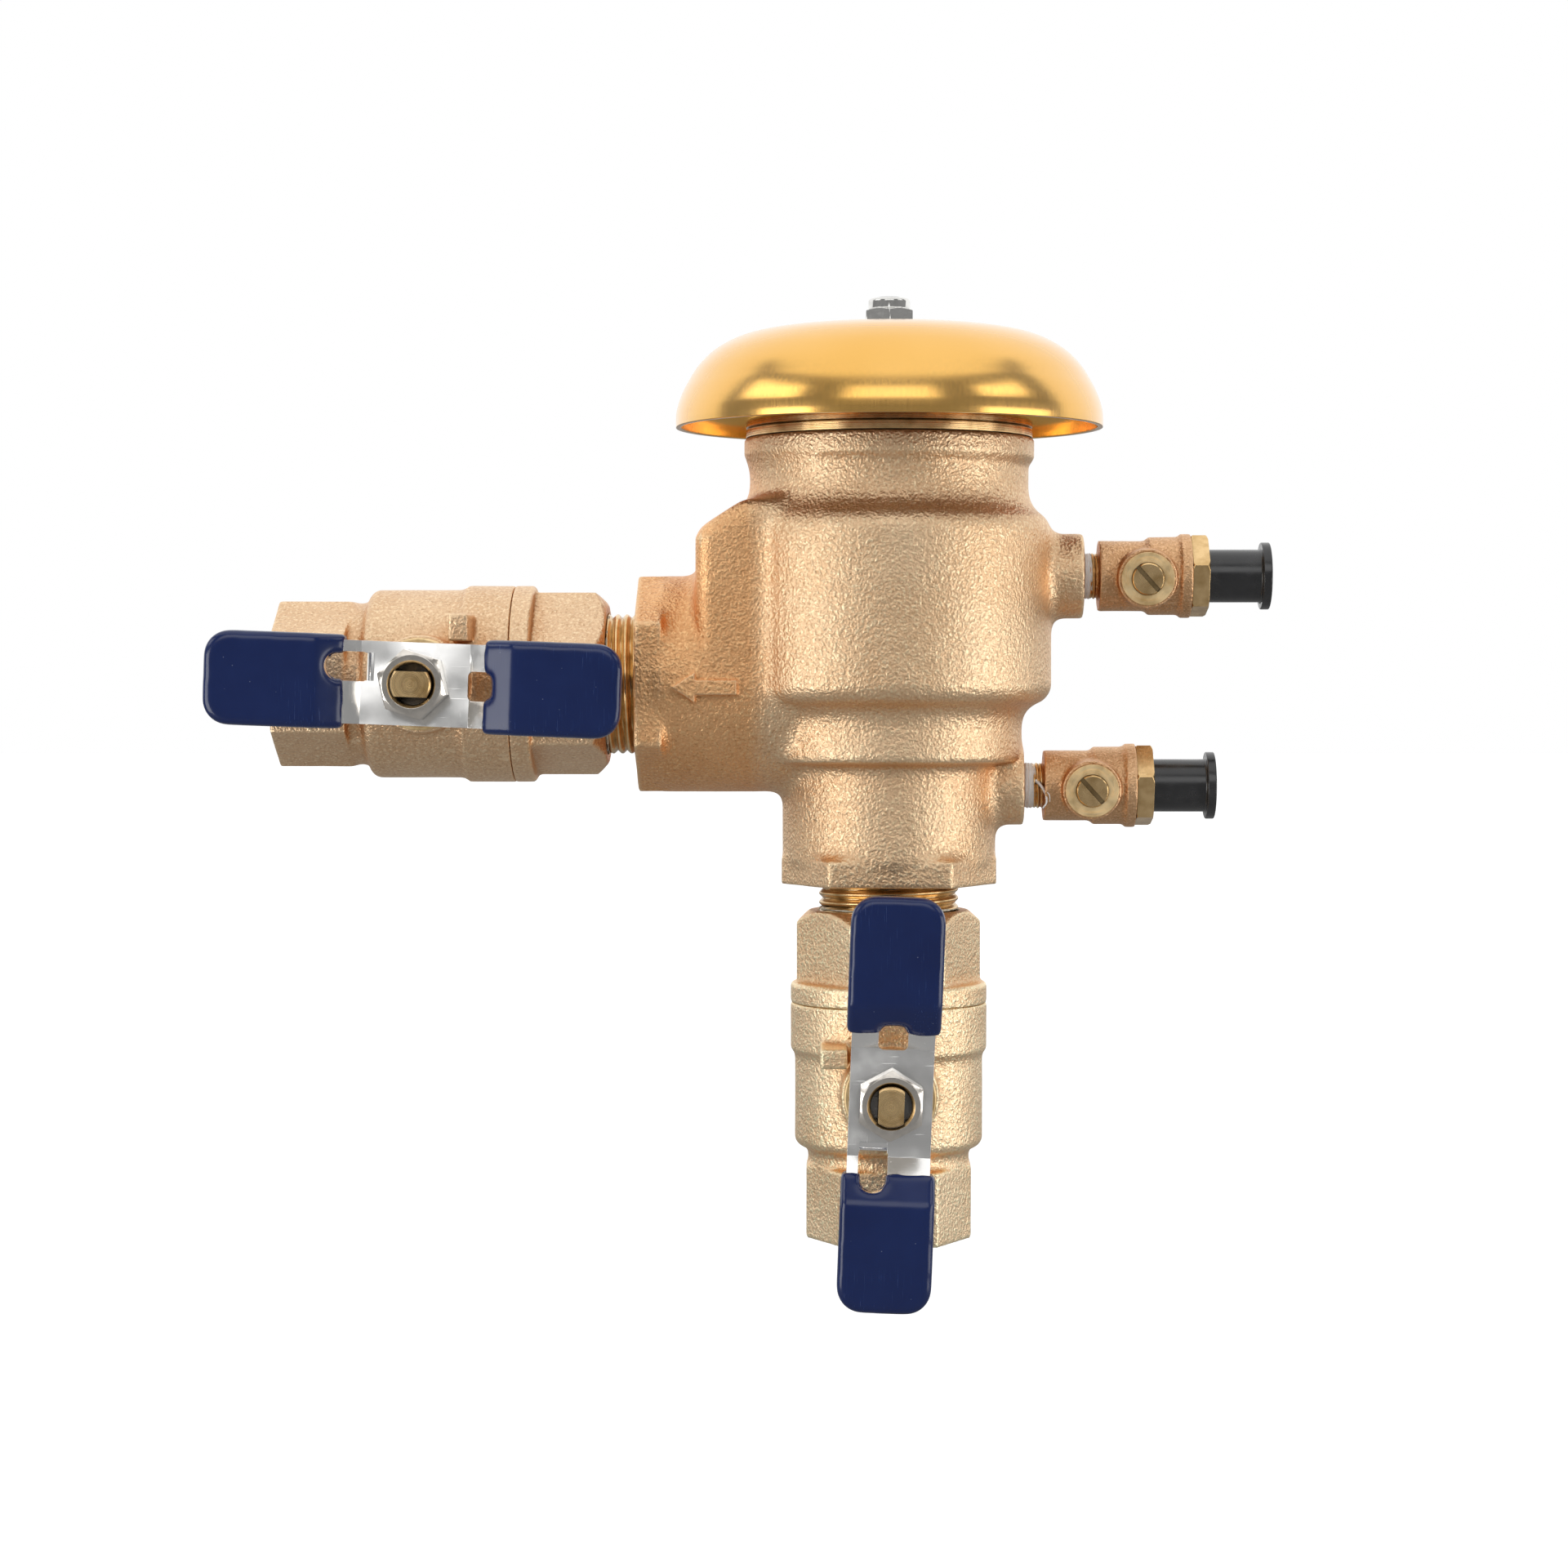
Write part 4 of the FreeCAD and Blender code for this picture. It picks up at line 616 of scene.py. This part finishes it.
def wound_tape(node, start, end, height, material):
    """A sleeve of wound tape between two distances along X, with stepped, ragged turns."""
    inside = 5.11
    rows = 26
    around = 96
    points = []
    for row in range(rows + 1):
        share = row / rows
        along = start + (end - start) * share
        for spot in range(around):
            angle = 2 * math.pi * spot / around
            lap = (share * 3.2 + spot / around) % 1.0
            rough = noise(Vector((along * 0.9, math.cos(angle) * 2.2, math.sin(angle) * 2.2)))
            edge = min(1.0, share * 6, (1 - share) * 5)
            radius = inside + 0.01 + (0.14 + 0.26 * lap + 0.16 * rough) * max(edge, 0.12)
            shift = 0.35 * rough * (1 if share > 0.5 else 0.3) * abs(share - 0.2)
            points.append((along + shift, radius * math.cos(angle), radius * math.sin(angle)))
    for along in (end, start):
        points += [(along, first, second) for first, second, _ in circle(inside, 0, around)]
    points = [(Vector(point) + Vector((0, 0, height))) * MM for point in points]
    piece = mesh_piece(f"{node}_wound", points, tube_faces(rows + 3, around, flipped=True))
    return place(piece, "housing", material, "white_ptfe", node)


def tape_strand(name, path, width, material):
    """A thin stray strand of tape along a path in millimetres."""
    spine = smooth_path(path, 10)
    points = []
    for index, point in enumerate(spine):
        along = (spine[min(index + 1, len(spine) - 1)] - spine[max(index - 1, 0)]).normalized()
        side = along.cross(Vector((0, -1, 0.25))).normalized()
        out = side.cross(along).normalized()
        share = index / (len(spine) - 1)
        half = width / 2 * (1 - 0.6 * share)
        for across, lift in ((-1, 0), (0, 0.05), (1, 0), (0, -0.05)):
            points.append((point + side * across * half + out * lift) * MM)
    faces = []
    for index in range(len(spine) - 1):
        here, ahead = index * 4, index * 4 + 4
        for corner in range(4):
            after = (corner + 1) % 4
            faces.append((here + corner, here + after, ahead + after, ahead + corner))
    last = len(points) - 4
    faces += [(3, 2, 1, 0), (last, last + 1, last + 2, last + 3)]
    return place(mesh_piece(name, points, faces), "housing", material, "white_ptfe")


def sealant_ring(name, origin, axis, radius, material):
    """A ragged bead of thread sealant round a nipple where it enters a fitting."""
    around = 160
    section = 10
    points = []
    for spot in range(around):
        angle = 2 * math.pi * spot / around
        probe = Vector((math.cos(angle) * 3.1, math.sin(angle) * 3.1, radius))
        size = 0.12 + 0.55 * max(0, noise(probe) + 0.05) + 0.2 * max(0, noise(probe * 3.3))
        for corner in range(section):
            lean = 2 * math.pi * corner / section
            out = radius + size * math.cos(lean)
            points.append(Vector((out * math.cos(angle), out * math.sin(angle), size * 0.9 * math.sin(lean))))
    piece = mesh_piece(name, set_along(points, axis, origin), tube_faces(around, section))
    return place(piece, "housing", material, "white_ptfe")


def cast_arrow(material):
    """The flow arrow that stands proud of the outlet arm."""
    buried, proud = 25.0, 27.35
    outline = [
        (-7.5, 0), (-2.3, -3.5), (-2.3, -1.7), (7.5, -1.7), (7.5, 1.7), (-2.3, 1.7), (-2.3, 3.5),
    ]
    count = len(outline)
    points = [
        Vector((ARROW_ALONG + along, -depth, ARROW_HEIGHT + rise)) * MM
        for depth in (buried, proud) for along, rise in outline
    ]
    faces = [tuple(range(count)), tuple(range(2 * count - 1, count - 1, -1))]
    for corner in range(count):
        after = (corner + 1) % count
        faces.append((after, corner, count + corner, count + after))
    piece = mesh_piece("casting_arrow", points, faces)
    alter(piece, "REMESH", mode="VOXEL", voxel_size=0.16 * MM)
    alter(piece, "SMOOTH", factor=0.5, iterations=9)
    settle(piece)
    return place(piece, "housing", material, "cast_bronze")


# ---------------------------------------------------------------- make everything

bronze_tint = (0.90, 0.64, 0.40)
inlet_valve_tint = (1.0, 0.76, 0.50)
outlet_valve_tint = (0.87, 0.625, 0.40)
cock_tint = (0.74, 0.46, 0.25)
body_bronze = cast_bronze("cast_bronze_body", 1.0, bronze_tint, shaded_beyond=-0.029)
valve_bronze = {
    "inlet": cast_bronze("cast_bronze_inlet_valve", 21.0, inlet_valve_tint),
    "outlet": cast_bronze("cast_bronze_outlet_valve", 27.0, outlet_valve_tint),
}
cock_bronze = cast_bronze("cast_bronze_cocks", 41.0, cock_tint, grain=0.8)
brass_colour = (0.86, 0.60, 0.30)
tan_brass = (1.0, 0.77, 0.44)
gold = gold_canopy()
zinc = zinc_steel()
vinyl = navy_vinyl()
nickel = plated("nickel_plate", (0.80, 0.75, 0.68), 0.13)
stainless = plated("stainless_steel", (0.64, 0.64, 0.63), 0.22)
bright_nut = plated("bright_nut_plate", (0.84, 0.83, 0.80), 0.09)
chromed = plated("chromed_ball", (0.85, 0.85, 0.85), 0.06)
black = plastic("black_polyethylene", (0.014, 0.014, 0.015), 0.24, depth=0.000008, specular=0.7)
rubber = plastic("black_rubber", (0.02, 0.02, 0.02), 0.6)
ptfe = plastic("white_ptfe", (0.80, 0.80, 0.78), 0.5)
acetal = plastic("acetal", (0.74, 0.72, 0.66), 0.4)
tape = white_tape()
paste = sealant_paste()

recast("body_casting", "housing", body_bronze, "cast_bronze",
       voxel=0.50, rounding=3, faces=190000, waviness=0.2, filling=60, fill_below=184)
cast_arrow(body_bronze)
for side in ("inlet", "outlet"):
    bronze = valve_bronze[side]
    recast(f"{side}_valve_body", "housing", bronze, "cast_bronze",
           voxel=0.42, rounding=3, faces=150000, waviness=0.15, filling=14)
    recast(f"{side}_valve_tailpiece", "housing", bronze, "cast_bronze",
           voxel=0.40, rounding=3, faces=110000, filling=6)
    recast(f"{side}_handle_grips", f"{side}_handle", vinyl, "navy_vinyl",
           voxel=0.30, rounding=110, faces=120000, swelling=0.4)
for cock in ("upper_cock", "lower_cock"):
    recast(f"{cock}_body", "housing", cock_bronze, "cast_bronze",
           voxel=0.25, rounding=4, faces=90000, waviness=0.15, filling=16)
canopy(gold)

pipe_brass = turned_metal("turned_brass_pipe", brass_colour, Vector(), "Z", 0.20)
side_brass = turned_metal("turned_brass_side", brass_colour, OUTLET_STEM, "X", 0.20)
bore_bronze = (0.88, 0.62, 0.38)
tapped_thread("inlet_end_thread", (0, 0, 0.4), "Z", 17.0,
              turned_metal("turned_bronze_inlet_bore", bore_bronze, Vector(), "Z", 0.3))
tapped_thread("outlet_end_thread", (-145.3, 0, OUTLET_HEIGHT), "X", 17.0,
              turned_metal("turned_bronze_outlet_bore", bore_bronze, OUTLET_STEM, "X", 0.3))
nipple = threaded_sleeve(38.1, 16.7, 0.85, PIPE_PITCH, 13.2, plain=(0.60, 0.78))
threaded("inlet_nipple_threaded", (0, 0, 62.65), "Z", nipple, pipe_brass, "inlet_nipple")
threaded("outlet_nipple_threaded", (-82.55, 0, OUTLET_HEIGHT), "X", nipple, side_brass, "outlet_nipple")

stem_brass = {
    "inlet": turned_metal("turned_brass_inlet_stem", brass_colour, INLET_STEM, "Y", 0.24, 0.00004),
    "outlet": turned_metal("turned_brass_outlet_stem", brass_colour, OUTLET_STEM, "Y", 0.24, 0.00004),
    "upper_cock": turned_metal("turned_brass_upper_cock", brass_colour, UPPER_COCK, "Y", 0.18, 0.00004),
    "lower_cock": turned_metal("turned_brass_lower_cock", brass_colour, LOWER_COCK, "Y", 0.18, 0.00004),
}
ring_brass = {
    "upper_cock": turned_metal("turned_brass_upper_ring", tan_brass, UPPER_COCK, "Y", 0.5),
    "lower_cock": turned_metal("turned_brass_lower_ring", tan_brass, LOWER_COCK, "Y", 0.5),
}
gland_brass = turned_metal("turned_brass_gland", tan_brass, INLET_STEM, "Y", 0.4)
fitting_brass = {
    "upper_cock": turned_metal("turned_brass_upper_end", brass_colour, UPPER_COCK, "X", 0.17),
    "lower_cock": turned_metal("turned_brass_lower_end", brass_colour, LOWER_COCK, "X", 0.17),
}
for side in ("inlet", "outlet"):
    machined(f"{side}_handle_plate", zinc, 0.00045, 3)
    machined(f"{side}_handle_nut", nickel, 0.00035, 3)
    machined(f"{side}_stem", stem_brass[side], 0.0002)
    machined(f"{side}_gland", gland_brass, 0.0002)
    machined(f"{side}_stem_packing", ptfe, 0.0001)
    machined(f"{side}_ball_seats", ptfe, 0.0001)
    machined(f"{side}_ball", chromed, 0.0002)
for cock in ("upper_cock", "lower_cock"):
    machined(f"{cock}_stem", stem_brass[cock], 0.00015)
    machined(f"{cock}_stem_ring", ring_brass[cock], 0.0001)
    machined(f"{cock}_end_fitting", fitting_brass[cock], 0.00025, 3)
    machined(f"{cock}_plug", black, 0.0002, 3)
    machined(f"{cock}_ball", chromed, 0.0001)
    machined(f"{cock}_seats", ptfe, 0.0001)
    machined(f"{cock}_stem_o_ring", rubber, 0.0001)
for node, material in (
    ("bonnet", pipe_brass), ("canopy_nut", bright_nut), ("canopy_stud", stainless),
    ("canopy_nut_insert", ptfe), ("bonnet_o_ring", rubber), ("check_seat", pipe_brass),
    ("check_seat_o_ring", rubber), ("check_disc", rubber), ("check_poppet", acetal),
    ("check_disc_retainer", stainless), ("check_guide", acetal),
    ("air_inlet_float", acetal), ("air_inlet_disc", rubber), ("air_inlet_retainer", stainless),
):
    machined(node, material, 0.0002)
springy("check_spring", stainless)
springy("air_inlet_spring", stainless)

neck_thread = threaded_sleeve(2.3, 5.5, 0.34, 0.94, 5.0)
threaded("upper_neck_thread", (47.55, 0, UPPER_COCK_HEIGHT), "X", neck_thread, fitting_brass["upper_cock"])
threaded("lower_neck_thread", (34.35, 0, LOWER_COCK_HEIGHT), "X", neck_thread, fitting_brass["lower_cock"])
wound_tape("upper_cock_thread_tape", 46.45, 48.3, UPPER_COCK_HEIGHT, tape)
wound_tape("lower_cock_thread_tape", 32.35, 34.9, LOWER_COCK_HEIGHT, tape)
tape_strand("lower_tape_strand", [
    (34.8, -5.0, 109.8), (36.0, -5.9, 108.6), (37.0, -7.2, 106.9), (37.3, -8.9, 104.6), (36.4, -8.8, 103.1),
], 0.9, tape)
tape_strand("lower_tape_wisp", [
    (35.4, -5.1, 108.9), (36.6, -6.6, 107.6), (37.9, -9.0, 106.4), (38.1, -9.2, 104.7),
], 0.4, tape)
sealant_ring("inlet_sealant", (0, 0, 78.9), "Z", 16.6, paste)
sealant_ring("outlet_sealant", (-66.9, 0, OUTLET_HEIGHT), "X", 16.5, paste)


# ---------------------------------------------------------------- floor, light and camera


def floor():
    """A plain pale floor, well below the valve."""
    size = 12.0
    height = -0.16
    piece = mesh_piece("floor", [(-size, -size, height), (size, -size, height), (size, size, height),
                                 (-size, size, height)], [(0, 1, 2, 3)])
    finish = Finish("pale_floor", roughness=0.9, specular=0.2)
    finish.colour(finish.mix(finish.noise(0.6, 2), (0.27, 0.27, 0.27), (0.29, 0.29, 0.29)))
    finish.shader.inputs["Emission Color"].default_value = (1, 1, 1, 1)
    seen = finish.add("ShaderNodeLightPath").outputs["Is Camera Ray"]
    finish.feed(finish.shader.inputs["Emission Strength"], finish.maths("MULTIPLY", seen, 0.85))
    piece.data.materials.append(finish.material)


def softbox(name, place_at, target, width, height, power):
    """A rectangular soft light aimed at a point."""
    light = bpy.data.lights.new(name, "AREA")
    light.shape = "RECTANGLE"
    light.size = width
    light.size_y = height
    light.energy = power
    item = bpy.data.objects.new(name, light)
    item.location = place_at
    item.rotation_euler = (Vector(target) - Vector(place_at)).to_track_quat("-Z", "Y").to_euler()
    item.visible_camera = False
    bpy.context.scene.collection.objects.link(item)


# What stands round the object: azimuth from the front towards the right, half width, lowest and highest
# elevation, in degrees, and brightness. The later ones stand in front of the earlier ones.
OPEN_SKY = 1.35
PANELS = (
    (0, 103, -90, 49, 0.32),
    (0, 30, 39, 50, 0.5),
    (0, 26, 16, 39, 2.0),
    (-72, 19, 22, 39, 2.8),
    (68, 16, 24, 38, 2.4),
)


def surroundings():
    """White behind everything, and a studio of bright panels and dark gaps for the metal to reflect."""
    world = bpy.data.worlds.new("studio")
    world.use_nodes = True
    tree = world.node_tree
    tree.nodes.clear()
    add = tree.nodes.new
    link = tree.links.new

    def feed(socket, value):
        if isinstance(value, bpy.types.NodeSocket):
            link(value, socket)
        else:
            socket.default_value = value

    def maths(operation, *values):
        node = add("ShaderNodeMath")
        node.operation = operation
        for socket, value in zip(node.inputs, values):
            feed(socket, value)
        return node.outputs["Value"]

    def step(value, edge, low, high):
        """From low to high round an edge a few degrees wide."""
        node = add("ShaderNodeMapRange")
        node.interpolation_type = "SMOOTHSTEP"
        for key, item in (("Value", value), ("From Min", edge - 3), ("From Max", edge + 3),
                          ("To Min", low), ("To Max", high)):
            feed(node.inputs[key], item)
        return node.outputs["Result"]

    split = add("ShaderNodeSeparateXYZ")
    link(add("ShaderNodeTexCoord").outputs["Generated"], split.inputs[0])
    backwards = maths("MULTIPLY", split.outputs["Y"], -1)
    azimuth = maths("DEGREES", maths("ARCTAN2", split.outputs["X"], backwards))
    elevation = maths("DEGREES", maths("ARCSINE", split.outputs["Z"]))
    level = OPEN_SKY
    for centre, half_width, lowest, highest, brightness in PANELS:
        aside = maths("ABSOLUTE", maths("SUBTRACT", azimuth, centre))
        inside = maths("MULTIPLY", step(elevation, lowest, 0, 1), step(elevation, highest, 1, 0))
        inside = maths("MULTIPLY", inside, step(aside, half_width, 1, 0))
        blend = add("ShaderNodeMix")
        feed(blend.inputs["Factor"], inside)
        feed(blend.inputs["A"], level)
        feed(blend.inputs["B"], brightness)
        level = blend.outputs["Result"]
    lit = add("ShaderNodeBackground")
    feed(lit.inputs["Strength"], level)
    seen = add("ShaderNodeBackground")
    seen.inputs["Color"].default_value = (1, 1, 1, 1)
    shade = add("ShaderNodeMixShader")
    link(add("ShaderNodeLightPath").outputs["Is Camera Ray"], shade.inputs["Fac"])
    link(lit.outputs["Background"], shade.inputs[1])
    link(seen.outputs["Background"], shade.inputs[2])
    link(shade.outputs["Shader"], add("ShaderNodeOutputWorld").inputs["Surface"])
    bpy.context.scene.world = world


def camera():
    """The camera in front, a little left of the riser, just above the outlet's height."""
    view = bpy.data.cameras.new("camera")
    view.sensor_width = 36
    view.lens = 77
    view.clip_start = 0.01
    item = bpy.data.objects.new("camera", view)
    item.location = (-0.0125, -0.805, 0.1343)
    pitch, yaw = -1.83, 0.9
    item.rotation_euler = (math.radians(90 + pitch), 0, math.radians(yaw))
    bpy.context.scene.collection.objects.link(item)
    bpy.context.scene.camera = item


floor()
aim = (0, 0, 0.10)
softbox("left_card", (-0.62, -0.42, 0.04), aim, 0.40, 0.39, 1.6)
softbox("right_card", (0.70, -0.26, 0.04), aim, 0.60, 0.39, 1.8)
surroundings()
camera()
bpy.context.scene.view_settings.view_transform = "Standard"
